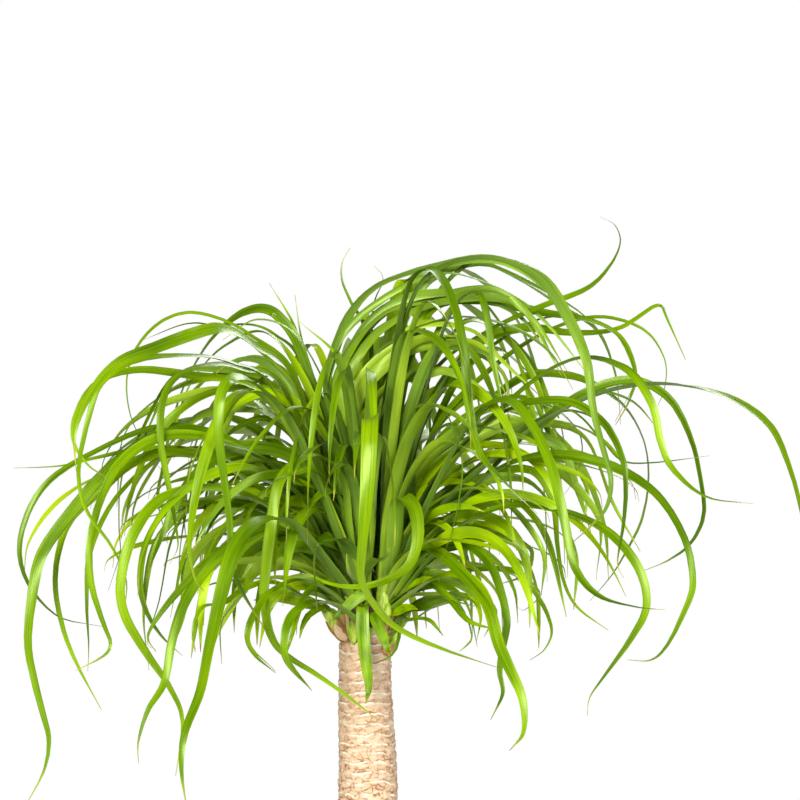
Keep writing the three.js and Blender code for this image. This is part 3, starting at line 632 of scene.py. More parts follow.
fillRule = {
    "fan": 24, "topLoss": 0.86, "topPower": 1.15, "topScatter": 40, "leastReach": 0.3, "reachFrom": 0.1,
    "reachSpan": 0.68, "reachScatter": 0.4, "tipScatter": 0.7, "turnScatter": 100, "narrowest": 10,
    "widest": 16,
}

spokeRule = {
    "fan": 33, "steepest": 86, "shortLow": 90, "longLow": 210, "shortSteep": 240, "longSteep": 520,
    "bends": 14, "bendsFrom": 0.1, "bendsTo": 0.85, "bendScatter": 0.25, "gathering": 0.62, "curl": 70,
    "hangLow": -62, "hangSteep": -78, "hangScatter": 30, "hem": -40, "hemScatter": 160,
    "narrowest": 11, "widest": 18, "leastTurn": 40, "mostTurn": 90,
}

sheafRule = {
    "smallest": 0.78, "largest": 1.06, "loose": 4.5, "narrowest": 0.6, "widest": 1.1, "leastTurn": 0.5,
    "mostTurn": 1.2,
}

goldenShare = 0.618  # steps by this share of a range never fall on the same place twice

# A fill leaf's course: how far out it is, and how much of its rise and of its fall it has done.
arch = [
    (0.07, 0.4, 0), (0.23, 0.78, 0), (0.46, 1, 0), (0.7, 1, 0.09), (0.88, 1, 0.34), (0.98, 1, 0.68),
    (1, 1, 1),
]

# Leaves placed one by one, which run out in an upright plane: head, the plane's bearing, width, turn of the
# face to the front, and the course as [to the right, up] from the heart of the crown. Some lists go on with
# the leaf's own tone, fullTo and turnedBy.
fannedLeaves = [
    ["left", 186, 10, 55, [[-78, 115], [-143, 167], [-208, 178], [-273, 153], [-323, 119], [-346, 70],
     [-341, 27], [-310, -10], [-265, -21]]],
    ["left", 205, 12, 50, [[-68, 175], [-118, 220], [-173, 229], [-228, 235], [-268, 222], [-288, 193],
     [-291, 165], [-276, 140], [-250, 124]]],
    ["left", 215, 9, 40, [[-88, 205], [-138, 243], [-188, 249], [-233, 243], [-263, 221], [-274, 190],
     [-282, 155], [-284, 125], [-276, 95], [-250, 57], [-238, 25], [-241, -10]]],
    ["left", 222, 18, 60, [[-68, 215], [-113, 260], [-143, 276], [-173, 270], [-208, 257], [-243, 243],
     [-268, 217], [-286, 175], [-285, 135]], 0.3],
    ["left", 212, 13, 35, [[-78, 205], [-128, 237], [-163, 239], [-190, 227], [-203, 203], [-205, 165],
     [-198, 125], [-191, 85], [-188, 60], [-196, 43]]],
    ["left", 200, 16, 60, [[-68, 120], [-123, 157], [-173, 175], [-218, 165], [-258, 135], [-293, 95],
     [-323, 52], [-333, 5], [-336, -40], [-326, -90], [-316, -130], [-321, -163], [-338, -195]]],
    ["left", 193, 12, 55, [[-68, 85], [-128, 130], [-188, 153], [-233, 143], [-268, 113], [-296, 85],
     [-308, 50], [-310, 15], [-302, -25], [-288, -60], [-265, -103]]],
    ["left", 178, 8, 40, [[-68, 105], [-128, 140], [-178, 156], [-228, 156], [-273, 147], [-308, 139],
      [-355, 137]]],
    ["left", 210, 13, 50, [[-78, 125], [-148, 165], [-203, 169], [-243, 145], [-263, 108], [-274, 65],
     [-273, 25], [-262, -13], [-254, -35], [-261, -48], [-288, -62]]],
    ["left", 172, 10, 60, [[-68, 105], [-140, 150], [-200, 150], [-250, 110], [-278, 55], [-282, 5],
     [-280, -40], [-281, -67]]],
    ["left", 218, 14, 55, [[-58, 65], [-108, 105], [-158, 118], [-203, 108], [-230, 75], [-243, 30],
     [-240, -5], [-220, -42], [-196, -78], [-183, -113], [-190, -167]]],
    ["left", 188, 12, 50, [[-58, 60], [-103, 95], [-153, 105], [-198, 95], [-220, 65], [-227, 25],
     [-221, -5], [-206, -30], [-185, -50]]],
    ["left", 225, 14, 50, [[-48, 45], [-83, 77], [-118, 70], [-153, 45], [-178, 10], [-192, -30],
     [-200, -73], [-216, -100], [-225, -130], [-225, -152]]],
    ["left", 215, 9, 45, [[-88, 22], [-123, 17], [-143, 3], [-163, 0], [-173, -20], [-171, -45]]],
    ["left", 205, 13, 55, [[-48, 65], [-108, 70], [-153, 50], [-188, 15], [-208, -10], [-218, -30],
      [-210, -45]]],
    ["left", 222, 11, 30, [[-38, -2], [-57, -8], [-65, -20], [-68, -33]]],
    ["front", 232, 19, 15, [[-43, 105], [-76, 175], [-98, 205], [-118, 214], [-136, 202], [-151, 173],
     [-163, 135], [-171, 95], [-174, 60], [-169, 30], [-160, 17]], 0.5, 4],
    ["front", 236, 14, 20, [[-68, 165], [-103, 215], [-128, 228], [-143, 213], [-146, 175], [-140, 125],
     [-135, 85], [-134, 50], [-126, 22], [-102, -20]], 0.05],
    ["front", 240, 12, 10, [[-23, 85], [-33, 155], [-46, 185], [-65, 198], [-85, 191], [-106, 168],
     [-121, 145], [-132, 123]]],
    ["front", 238, 19, 15, [[-43, 45], [-78, 85], [-108, 85], [-130, 60], [-143, 15], [-154, -35],
     [-163, -80], [-178, -120], [-181, -155], [-176, -192]]],
    ["front", 232, 9, 30, [[-38, 15], [-68, 27], [-96, 15], [-114, -9], [-119, -29], [-111, -47],
      [-91, -65]]],
    ["front", 240, 12, 20, [[-33, 2], [-56, 5], [-75, -8], [-82, -30], [-79, -53], [-55, -83]]],
    ["front_right", 342, 15, 50, [[62, 85], [122, 145], [182, 190], [242, 215], [302, 221], [357, 208],
     [397, 180], [417, 137], [429, 93], [440, 45], [446, 0], [436, -45]], 0.2, 5, 0.98],
    ["front_right", 325, 13, 40, [[72, 125], [142, 205], [202, 245], [252, 237], [279, 203], [288, 165],
     [300, 137], [332, 110], [377, 104]]],
    ["front_right", 315, 17, 30, [[14, 165], [28, 255], [52, 320], [87, 343], [132, 345], [172, 325],
     [197, 287], [215, 245], [222, 195], [232, 155], [239, 125], [232, 95], [202, 65]], 0.15, 4],
    ["front_right", 305, 15, 15, [[20, 165], [30, 265], [42, 320], [59, 336], [75, 323], [88, 290],
     [96, 245], [100, 200], [110, 155], [132, 127], [167, 93]]],
    ["front_right", 320, 13, 30, [[47, 175], [72, 265], [92, 305], [110, 310], [119, 283], [124, 245],
     [132, 205], [138, 175]]],
    ["front_right", 300, 13, 15, [[18, 125], [26, 225], [37, 270], [57, 272], [77, 255], [92, 225],
     [100, 190], [102, 155]]],
    ["front_right", 335, 13, 50, [[62, 60], [112, 125], [172, 150], [232, 143], [282, 115], [312, 70],
     [321, 25], [312, -5], [296, -37], [280, -52], [257, -52]]],
    ["front_right", 328, 13, 45, [[52, 35], [92, 80], [142, 100], [192, 95], [237, 75], [267, 40],
     [275, 2], [260, -30], [237, -63], [220, -88], [217, -107]]],
    ["front_right", 312, 14, 35, [[62, 105], [102, 185], [137, 205], [162, 180], [182, 135], [194, 85],
     [204, 40], [227, 13], [262, 3], [290, 1]]],
    ["front_right", 318, 18, 35, [[24, 35], [44, 55], [67, 55], [94, 32], [118, 2], [129, -35],
     [140, -60], [153, -90], [154, -123], [140, -142]]],
    ["front_right", 332, 13, 45, [[32, 35], [62, 55], [97, 60], [120, 43], [132, 15], [138, -15],
     [134, -40], [131, -65], [134, -87], [122, -113]]],
    ["front_right", 344, 14, 50, [[32, 10], [60, 22], [80, 8], [100, -15], [125, -23]]],
    ["front_right", 335, 9, 40, [[34, -18], [47, -13], [62, -15], [75, -30]]],
    ["front_right", 322, 12, 40, [[62, 120], [130, 190], [190, 205], [230, 185], [250, 150], [254, 120],
     [252, 85], [246, 45], [252, 30]]],
    ["right", 355, 12, 55, [[82, 85], [152, 165], [212, 210], [262, 225], [300, 207], [322, 167],
     [332, 125], [335, 90], [322, 62], [300, 45], [276, 35]]],
    ["right", 25, 7, 50, [[62, 165], [122, 235], [182, 275], [232, 289], [277, 277], [299, 248],
     [300, 217], [287, 188]]],
    ["right", 10, 13, 55, [[52, 175], [102, 255], [152, 277], [207, 272], [252, 277], [290, 300],
     [300, 287], [319, 245]]],
    ["right", 354, 12, 40, [[32, 175], [72, 240], [122, 275], [172, 298], [218, 316], [241, 338],
     [252, 362], [246, 380], [231, 388]]],
    ["right", 5, 15, 55, [[27, 135], [38, 225], [62, 295], [112, 306], [172, 293], [222, 285],
     [254, 267], [268, 233], [262, 205], [248, 180]]],
    ["right", 30, 12, 50, [[18, 200], [30, 270], [60, 325], [110, 343], [150, 328], [195, 300],
     [232, 275], [250, 230], [255, 180]]],
    ["right", 352, 11, 50, [[72, 66], [122, 125], [162, 135], [184, 105], [189, 60], [195, 25],
     [209, -2], [240, -25]]],
    ["right", 10, 9, 45, [[42, 15], [72, 30], [112, 35], [147, 33], [172, 5], [184, -25], [177, -45],
      [162, -56]]],
    ["right", 20, 7, 40, [[32, -8], [62, 3], [92, 8], [105, 2], [110, -3]]],
    ["right", 359, 14, 50, [[52, 40], [102, 77], [132, 75], [157, 60], [164, 50], [157, 30], [132, 21]]],
    ["right", 40, 9, 40, [[72, 190], [120, 255], [160, 235], [185, 205], [198, 165], [195, 125],
      [187, 105]]],
    ["right", 15, 8, 45, [[60, 150], [130, 205], [180, 200], [210, 175], [215, 150], [207, 125],
      [197, 110]]],
    ["right", 30, 11, 50, [[72, 135], [142, 220], [202, 230], [252, 205], [277, 170], [284, 130],
     [277, 85], [260, 50], [244, 25], [224, 2]]],
    ["right", 42, 13, 45, [[52, 60], [90, 90], [140, 105], [180, 100], [200, 80], [205, 50]]],
    ["back", 62, 16, 20, [[10, 145], [18, 240], [36, 310], [70, 340], [110, 330], [150, 290],
     [170, 240], [178, 190], [175, 130]]],
    ["back_left", 160, 6, 50, [[-68, 215], [-118, 270], [-168, 292], [-203, 287], [-230, 263],
     [-243, 230], [-240, 190], [-223, 155], [-203, 127]]],
    ["back_left", 150, 13, 50, [[-43, 165], [-68, 255], [-88, 287], [-106, 297], [-128, 292],
     [-150, 275], [-170, 250], [-188, 215], [-200, 175], [-208, 135], [-213, 105], [-203, 60]]],
    ["back_left", 164, 6, 50, [[-78, 120], [-150, 165], [-205, 165], [-240, 145], [-250, 115],
     [-251, 75], [-250, 50], [-262, 13]]],
]

# Leaves placed one by one, which come to the front and sweep sideways: head, width, turn, and the course as
# [to the right, to the back, up] from the heart of the crown.
sweptLeaves = [
    ["front", 24, 0, [[0, -36, 60], [2, -64, 130], [3, -110, 178], [3, -164, 188], [2, -190, 168],
     [0, -198, 120], [-4, -198, 70], [-6, -190, 30], [8, -178, 2], [30, -164, -20], [72, -150, -40],
     [130, -138, -60]], 0.55, 2.2],
    ["front", 14, -50, [[-18, -45, 65], [-25, -72, 125], [-46, -95, 149], [-70, -112, 144],
     [-88, -125, 123], [-95, -132, 85], [-100, -135, 45], [-102, -135, 5], [-90, -132, -38],
     [-48, -125, -68], [-16, -120, -91], [11, -115, -113]]],
    ["front", 15, 0, [[-6, -44, 0], [-5, -50, -25], [-2, -52, -55], [1, -52, -80],
      [-2, -52, -97]], 0.12, 7],
    ["front", 16, 35, [[4, -40, -6], [13, -47, -27], [22, -50, -50]], 0.1, 5],
    ["front", 16, 75, [[2, -40, 12], [-10, -49, 9], [-22, -54, -2], [-36, -56, -15]], 0.45, 5],
    ["front", 16, 0, [[-12, -30, 60], [-16, -38, 110], [-19, -52, 150], [-24, -75, 160],
     [-30, -95, 140], [-34, -105, 105]]],
    ["front_right", 21, 60, [[26, -34, 50], [29, -54, 96], [34, -78, 109], [46, -98, 98],
     [50, -110, 70], [42, -116, 43], [22, -118, 28], [-6, -118, 20], [-38, -114, 23],
     [-68, -108, 38]], 0.4, 2, 0.85],
    ["front_right", 6, 0, [[31, -36, -16], [29, -43, -40], [20, -46, -52], [8, -46, -56]]],
    ["front_right", 19, 25, [[30, -26, 60], [46, -32, 120], [60, -38, 160], [78, -46, 180],
     [104, -60, 168], [124, -72, 138]]],
]

# Wisps and thin leaves that only the looks have, in the same two forms.
thinFanned = [
    ["back_left", 150, 6, 40, [[-70, 200], [-110, 255], [-150, 277], [-183, 282], [-230, 265]]],
    ["back_left", 140, 6, 40, [[-30, 150], [-68, 245], [-93, 270], [-113, 280], [-138, 281],
      [-168, 275]]],
    ["left", 212, 5, 30, [[-40, 40], [-80, 55], [-100, 35], [-106, 5], [-118, -35], [-92, -65]]],
    ["left", 200, 5, 40, [[-60, 90], [-120, 100], [-155, 60], [-168, 5], [-175, -30], [-171, -43]]],
    ["left", 190, 5, 40, [[-70, 110], [-140, 130], [-190, 80], [-208, 5], [-220, -35], [-211, -44]]],
    ["back_left", 130, 6, 30, [[-20, 120], [-50, 210], [-68, 255], [-76, 283], [-100, 323]]],
    ["back_left", 125, 5, 30, [[-15, 110], [-45, 200], [-66, 262], [-74, 311]]],
    ["right", 20, 8, 40, [[20, 180], [55, 290], [102, 343], [132, 337], [182, 313], [222, 285],
      [247, 240], [252, 205]]],
    ["right", 12, 6, 40, [[60, 190], [140, 270], [200, 290], [247, 273], [267, 235], [267, 220],
      [248, 183]]],
    ["front_right", 335, 5, 40, [[60, 120], [140, 200], [200, 195], [232, 165], [252, 145], [282, 143],
      [337, 150]]],
    ["front_right", 340, 7, 50, [[32, 40], [55, 35], [72, 20], [87, 5], [110, -1]]],
    ["right", 358, 6, 40, [[50, 40], [110, 60], [150, 45], [162, 25], [172, 10], [157, -5], [148, -1]]],
]
thinSwept = [
    ["back", 17, 60, [[0, 25, 80], [-30, 28, 160], [-43, 26, 215], [-28, 24, 272], [-11, 22, 302],
     [9, 20, 320], [32, 18, 330], [55, 16, 337], [112, 10, 347], [150, 6, 338], [185, 0, 310],
     [205, -4, 275], [215, -8, 240]]],
    ["back", 16, 60, [[0, 22, 80], [-25, 24, 150], [-32, 24, 200], [-20, 22, 245], [0, 18, 280],
     [28, 14, 302], [62, 8, 312], [105, 2, 310], [150, -4, 290], [178, -8, 255]]],
    ["front_right", 16, 60, [[0, 12, 70], [-16, 14, 130], [-23, 14, 168], [-11, 12, 215], [9, 8, 252],
     [32, 4, 268], [55, 0, 280], [95, -4, 288], [140, -8, 280], [180, -12, 255], [205, -14, 215]]],
    ["front_right", 14, 60, [[-2, -5, 60], [-6, -8, 142], [5, -12, 182], [32, -16, 222], [62, -20, 248],
     [90, -24, 258], [120, -28, 250], [140, -32, 225]]],
    ["front_right", 13, 55, [[14, -14, 30], [30, -18, 50], [55, -24, 78], [95, -30, 122],
     [135, -34, 158], [175, -38, 182], [222, -42, 212], [262, -44, 205], [290, -46, 175]]],
    ["front_right", 11, 55, [[14, -10, 50], [40, -16, 80], [62, -20, 98], [109, -26, 138],
     [162, -30, 180], [200, -34, 195], [235, -36, 180], [255, -38, 145]]],
    ["front_right", 9, 50, [[14, -6, 20], [45, -10, 72], [77, -14, 95], [112, -18, 90], [134, -20, 75],
     [152, -22, 65], [165, -24, 40]]],
    ["front_right", 6, 20, [[20, -30, 90], [35, -50, 170], [49, -60, 198], [72, -68, 198],
     [85, -74, 178], [94, -78, 142], [90, -80, 102], [82, -80, 68], [72, -80, 45]]],
    ["front", 11, -50, [[-6, -8, 5], [-15, -14, 28], [-28, -22, 88], [-45, -30, 128], [-61, -36, 168],
     [-85, -40, 200], [-115, -44, 215], [-145, -46, 200], [-160, -48, 165]]],
    ["front", 10, -50, [[-8, -10, 60], [-21, -24, 138], [-38, -32, 168], [-55, -36, 192],
     [-78, -38, 195], [-100, -40, 175], [-112, -42, 140]]],
    ["left", 13, -60, [[-8, -5, 10], [-26, -12, 33], [-40, -18, 90], [-53, -24, 155], [-73, -28, 210],
     [-100, -30, 240], [-130, -32, 245], [-160, -34, 225]]],
    ["left", 12, -60, [[-5, 5, 60], [-18, 5, 155], [-41, 5, 215], [-63, 5, 258], [-85, 5, 280],
     [-115, 5, 285], [-145, 5, 265]]],
    ["front", 9, -20, [[-14, -30, 20], [-16, -36, 70], [-20, -38, 120], [-26, -36, 160],
      [-34, -30, 185]]],
    ["back", 7, 0, [[8, 30, 150], [2, 40, 260], [-18, 46, 305], [-26, 48, 325], [-26, 50, 343],
      [-18, 52, 358]]],
    ["back", 6, 0, [[10, 28, 150], [4, 38, 285], [15, 42, 325], [6, 44, 340]]],
    ["front", 7, 0, [[-5, -10, 100], [-13, -20, 185], [-28, -30, 245], [-68, -40, 283]]],
    ["front_right", 8, 20, [[32, -22, -12], [45, -26, -14], [66, -30, 0], [93, -34, 8], [104, -35, 5],
     [111, -36, -3]]],
]

# Sheaves of leaves that lie side by side, which only the looks have: head, how many, width, turn, and the
# courses of the outermost and of the innermost as [to the right, to the back, up].
sheaves = [
    ["back", 7, 16, 60, [[-30, 28, 160], [-43, 26, 215], [-30, 24, 268], [5, 20, 312], [62, 14, 336],
     [125, 6, 335], [180, 0, 305], [212, -6, 245]],
     [[-4, 4, 140], [-8, 0, 175], [4, -6, 210], [30, -10, 240], [66, -14, 258], [100, -18, 255],
     [128, -20, 232], [142, -22, 195]]],
    ["left", 6, 17, 60, [[-20, 10, 110], [-62, 6, 200], [-112, 2, 258], [-170, -4, 270],
     [-222, -8, 246], [-260, -10, 200], [-278, -12, 140]],
     [[-16, 0, 60], [-52, -8, 125], [-96, -12, 165], [-140, -16, 168], [-184, -18, 142],
     [-210, -20, 95], [-220, -22, 40]]],
    ["left", 5, 16, 60, [[-20, -10, 40], [-62, -18, 85], [-112, -24, 110], [-160, -28, 98],
     [-202, -30, 58], [-222, -32, 4], [-222, -32, -50]],
     [[-18, -12, 8], [-45, -20, 24], [-78, -25, 32], [-108, -28, 22], [-130, -30, -4], [-140, -30, -35],
     [-138, -30, -55]]],
    ["right", 6, 16, 60, [[18, -4, 80], [60, -10, 155], [118, -16, 212], [180, -20, 236],
     [235, -24, 216], [275, -26, 160], [290, -26, 90]],
     [[18, -8, 36], [50, -16, 78], [94, -20, 106], [140, -24, 112], [180, -26, 86], [200, -28, 42],
     [204, -28, 0]]],
    ["front_right", 5, 14, 60, [[18, -14, 22], [55, -22, 60], [100, -27, 76], [143, -30, 60],
     [168, -32, 22], [176, -32, -25]],
     [[18, -16, -2], [40, -24, 10], [65, -28, 12], [88, -30, -2], [104, -30, -26], [108, -30, -44]]],
]


def headCentre(head):
    return around(math.radians(heads[head]["bearing"]), crownSize["ringRadius"], crownSize["height"])


def rootOf(head, number, out, up):  # upright leaves are the youngest and are rooted the highest
    bearing = math.radians(heads[head]["bearing"])
    steepness = math.atan2(up, out) / (math.pi / 2)
    sideways = crownSize["rootSpread"] * ((number * goldenShare) % 1 - 0.5)
    height = mix(crownSize["lowestRoot"], crownSize["highestRoot"], steepness)
    return headCentre(head) + Vector((-sideways * math.sin(bearing), sideways * math.cos(bearing), height))


def placedLeaf(head, root, course, width, turn, more):  # more is what else a list says of this leaf
    leaf = {"head": head, "points": [root, *course], "width": width, "turn": turn, "placed": True}
    return {**leaf, **dict(zip(("tone", "fullTo", "turnedBy"), more))}


def fannedLeaf(entry, number):
    head, bearing, width, turn, course, *more = entry
    slope, toRight = math.tan(math.radians(bearing)), math.cos(math.radians(bearing))
    right, up = course[0]
    root = rootOf(head, number, abs(right / toRight), up)
    points = [Vector((r, root.y + (r - root.x) * slope, crownSize["height"] + u)) for r, u in course]
    return placedLeaf(head, root, points, width, turn * math.copysign(1, toRight), more)


def sweptLeaf(entry, number):
    head, width, turn, course, *more = entry
    right, back, up = course[0]
    root = rootOf(head, number, math.hypot(right, back), up)
    points = [Vector((r, b, crownSize["height"] + u)) for r, b, u in course]
    return placedLeaf(head, root, points, width, turn, more)


def sheafLeaf(sheaf, number):  # its course lies between the sheaf's two, and strays more from bend to bend
    head, count, width, turn, outer, inner = sheaf
    s = sheafRule
    leaf = 40 * sheaves.index(sheaf) + number
    share = (number + chance(leaf, 31)) / count
    scale = mix(s["smallest"], s["largest"], chance(leaf, 32))
    points = []
    for bend, (far, near) in enumerate(zip(outer, inner)):
        loose = Vector([scatter(bend * s["loose"], leaf, 70 + 3 * bend + axis) for axis in range(3)])
        points.append(heart + scale * Vector(far).lerp(Vector(near), share) + loose)
    root = rootOf(head, number, points[0].xy.length, points[0].z - crownSize["height"])
    turned = math.copysign(turn * mix(s["leastTurn"], s["mostTurn"], chance(leaf, 61)), outer[-1][0])
    broad = width * mix(s["narrowest"], s["widest"], chance(leaf, 62))
    return {"head": head, "points": [root, *points], "width": broad, "turn": turned}


def fillLeaf(head, number):  # the later its number, the older, lower and further out it is
    h, s = heads[head], fillRule
    leaf = 100 * h["seed"] + number
    age = (number + 0.5) / h["fill"]
    sideways = 2 * ((number * goldenShare + 0.2) % 1) - 1
    heading = math.radians(h["bearing"] + s["fan"] * sideways)
    top = h["peak"] * (1 - s["topLoss"] * age ** s["topPower"]) + scatter(s["topScatter"], leaf, 1)
    swell = math.sin(math.pi * (s["reachFrom"] + s["reachSpan"] * age))
    out = h["reach"] * mix(s["leastReach"], 1, swell) * (1 + scatter(s["reachScatter"], leaf, 2))
    tip = h["hem"] + (top - h["hem"]) * s["tipScatter"] * chance(leaf, 3)
    root = rootOf(head, number + 0.4, out * arch[0][0], top * arch[0][1])
    rise = crownSize["height"] + top - root.z
    points = [root + around(heading, out * o, rise * r - (top - tip) * f) for o, r, f in arch]
    width, turn = mix(s["narrowest"], s["widest"], chance(leaf, 6)), scatter(s["turnScatter"], leaf, 7)
    return {"head": head, "points": [root, *points], "width": width, "turn": turn}


def spokeLeaf(head, number):  # a leaf that sets out straight, bends over and hangs
    h, s = heads[head], spokeRule
    leaf = 300 * h["seed"] + number
    steepness = ((number + 0.5) / h["spokes"]) ** s["gathering"]
    heading = math.radians(h["spokesTo"] + s["fan"] * (2 * chance(leaf, 21) - 1))
    tilt = math.radians(mix(h["lowest"], s["steepest"], steepness))
    hangs = mix(s["hangLow"], s["hangSteep"], fade(steepness, 0, 0.4))
    hang = math.radians(hangs + scatter(s["hangScatter"], leaf, 28))
    shortest = mix(s["shortLow"], s["shortSteep"], steepness)
    longest = mix(s["longLow"], s["longSteep"], steepness)
    length = mix(shortest, longest, chance(leaf, 22))
    bendsTo = s["bendsTo"] + s["bendScatter"] * (2 * chance(leaf, 23) - 1)
    curl = math.radians(s["curl"] * (2 * chance(leaf, 24) - 1))
    hem = crownSize["height"] + s["hem"] + s["hemScatter"] * chance(leaf, 27)
    place = rootOf(head, number, math.cos(tilt), math.sin(tilt))
    points = [place]
    for bend in range(s["bends"]):
        share = (bend + 0.5) / s["bends"]
        climb = mix(tilt, hang, fade(share, s["bendsFrom"], bendsTo))
        step = around(heading + curl * share * share, math.cos(climb), math.sin(climb))
        place = place + step * length / s["bends"]
        points.append(place)
        if place.z < hem and climb < 0:
            break
    width = mix(s["narrowest"], s["widest"], chance(leaf, 25))
    turn = math.copysign(mix(s["leastTurn"], s["mostTurn"], chance(leaf, 26)), math.cos(heading))
    return {"head": head, "points": points, "width": width, "turn": turn}


def leavesOf(head):
    makers = [(fannedLeaf, fannedLeaves), (sweptLeaf, sweptLeaves), (fannedLeaf, thinFanned),
              (sweptLeaf, thinSwept)]
    placed = [make(entry, n) for make, entries in makers for n, entry in enumerate(entries)]
    placed += [sheafLeaf(sheaf, n) for sheaf in sheaves for n in range(sheaf[1])]
    leaves = [leaf for leaf in placed if leaf["head"] == head]
    leaves += [fillLeaf(head, n) for n in range(heads[head]["fill"])]
    return leaves + [spokeLeaf(head, n) for n in range(heads[head]["spokes"])]


def taper(along, fullTo):  # a leaf's width, as a share of its full one
    return mix(leafSize["atRoot"], 1, fade(along, 0, leafSize["grownBy"])) * (1 - along ** fullTo)


def stationsAlong(points):  # (centre, share of the way) along a leaf, closer where it bends, and its length
    s = leafSize
    fine, length = smoothCourse(points, s["samples"])
    stretches = int(clamp(round(length / s["stretch"]), s["fewestStretches"], s["mostStretches"]))
    steps = [b - a for a, b in zip(fine, fine[1:])]
    weights = [0.0]
    for step, after in zip(steps, [*steps[1:], steps[-1]]):
        weights.append(weights[-1] + 1 / s["samples"] + s["bendWeight"] * step.angle(after, 0))
    picks, index = [], 0
    for number in range(stretches):
        while weights[index] < weights[-1] * number / stretches:
            index += 1
        picks.append(index)
    picks.append(s["samples"])
    return [(fine[pick], pick / s["samples"]) for pick in picks], length


def insideBox(place):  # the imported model's box, which no leaf may leave
    return Vector([clamp(value, low, high) for value, low, high in zip(place, *cadBox)])


def leafLayers(bm):  # what a leaf's material reads: mm off the middle, share of the way, tone and back
    layers = {name: bm.verts.layers.float.new(name) for name in ("across", "along", "tone")}
    layers["under"] = bm.faces.layers.float.new("under")
    return layers


def addLeaf(bm, layers, leaf, tone):
    s = leafSize
    stations, length = stationsAlong(leaf["points"])
    wobble = s["placedWobble"] if "placed" in leaf else s["wobble"]
    turnedBy = leaf.get("turnedBy", s["turnedBy"])
    last = len(stations) - 1
    out = leaf["points"][1] - leaf["points"][0]
    across = Vector((-out.y, out.x, 0)).normalized()
    sections = []
    for index, (centre, share) in enumerate(stations):
        tangent = (stations[min(index + 1, last)][0] - stations[max(index - 1, 0)][0]).normalized()
        across = (across - tangent * across.dot(tangent)).normalized()
        upper = tangent.cross(across)
        swing = (wobble * math.sin(share * length / s["wobbleEvery"] + s["wobbleShift"] * tone)
                 * fade(share, s["wobbleFrom"], s["wobbleFull"]))
        angle = math.radians(leaf["turn"] * fade(share, turnedBy - s["turnsOver"], turnedBy) + swing)
        edge = across * math.cos(angle) + upper * math.sin(angle)
        face = upper * math.cos(angle) - across * math.sin(angle)
        half = s["slimness"] * leaf["width"] * taper(share, leaf.get("fullTo", s["fullTo"])) / 2
        half = max(half, s["tipHalf"])
        lift = half * mix(s["channelAtRoot"], s["channelAtTip"], fade(share, 0, s["channelledTo"]))
        thick = min(mix(s["thickAtRoot"], s["thickAtTip"], share), half)
        sections.append((centre, edge, face, half, lift, thick, share))
    verts = ringTube(bm, s["corners"], last)
    keel = {v for v in verts if v.co.y < -0.5}
    for face in {face for v in verts for face in v.link_faces}:
        face.smooth = True
        face[layers["under"]] = 1.0 if keel.intersection(face.verts) else 0.0
    for v in verts:
        centre, edge, face, half, lift, thick, share = sections[ringOf(v, last)]
        side = round(v.co.x)  # -1 or 1 at a margin, 0 in the middle and at the keel
        v[layers["across"]] = side * half
        v[layers["along"]] = share
        v[layers["tone"]] = tone
        height = lift / 2 if side else -lift / 2 - (thick if v in keel else 0)
        v.co = insideBox((centre + edge * half * side + face * height) * mm)
    for margin in {line for v in verts for line in v.link_edges}:
        if all(v[layers["across"]] != 0 for v in margin.verts):
            margin.smooth = False


def addBud(bm, centre, size, lean):  # a pale heart or shoot, ribbed by the leaves folded in it
    s = budSize
    course, _ = smoothCourse([Vector((radius, 0, height)) for radius, height in s["outline"]], s["rings"])
    leaning = Matrix.Rotation(math.radians(lean), 3, "Y")
    verts = ringTube(bm, s["sides"], s["rings"])
    for v in verts:
        base = course[ringOf(v, s["rings"])]
        turn = math.atan2(v.co.y, v.co.x)
        radius = max(base.x, 0) * (1 + s["ribHeight"] * math.cos(s["ribs"] * turn + s["ribTwist"] * base.z))
        v.co = (centre + size * (leaning @ around(turn, radius, base.z))) * mm
    for face in {face for v in verts for face in v.link_faces}:
        face.smooth = True
        face.material_index = 1


def makeHead(head):
    h = heads[head]
    bm = bmesh.new()
    layers = leafLayers(bm)
    leaves = leavesOf(head)
    for number, leaf in enumerate(leaves):
        # placed leaves draw from the darker range, which is painted shade
        tones = leafSize["placedTones"] if "placed" in leaf else h.get("tones", leafSize["tones"])
        addLeaf(bm, layers, leaf, leaf.get("tone", mix(*tones, chance(h["seed"] * 50 + number, 11))))
    addBud(bm, headCentre(head), 1, 0)
    for owner, place, size, lean in sideShoots:
        if owner == head:
            addBud(bm, heart + Vector(place), size, lean)
    budVerts = {v for face in bm.faces if face.material_index == 1 for v in face.verts}
    bmesh.ops.remove_doubles(bm, verts=list(budVerts), dist=weld)
    print("head", head, len(leaves), "leaves,", len(bm.faces), "faces")
    finishPiece("leaves_" + head, bm, [livingLeaf, youngShoot], ["leafy_head_" + head])


for head in heads:
    makeHead(head)


# Dry leaf bases, which hang as papery scales round the trunk's shoulder, and the dead stub of the cut top

sheathSize = {
    "count": 15, "turnScatter": 0.6, "top": -8, "topScatter": 8, "drop": 17, "dropScatter": 12,
    "inner": 16, "outer": 29, "outerScatter": 6, "width": 10, "narrowest": 0.7, "widest": 1.3,
}

scaleSize = {"perShoot": 4, "firstTurn": 0.9, "turnStep": 0.4, "turnScatter": 0.2, "rise": 14, "width": 17}

stubSize = {
    "outline": [(0, -16), (7, -14), (8.5, -6), (8, 4), (6.5, 7), (3, 5), (0, 6)],
    "sides": 40, "place": (4, -31, -6), "roughness": 0.12, "roughSpan": 4,
}


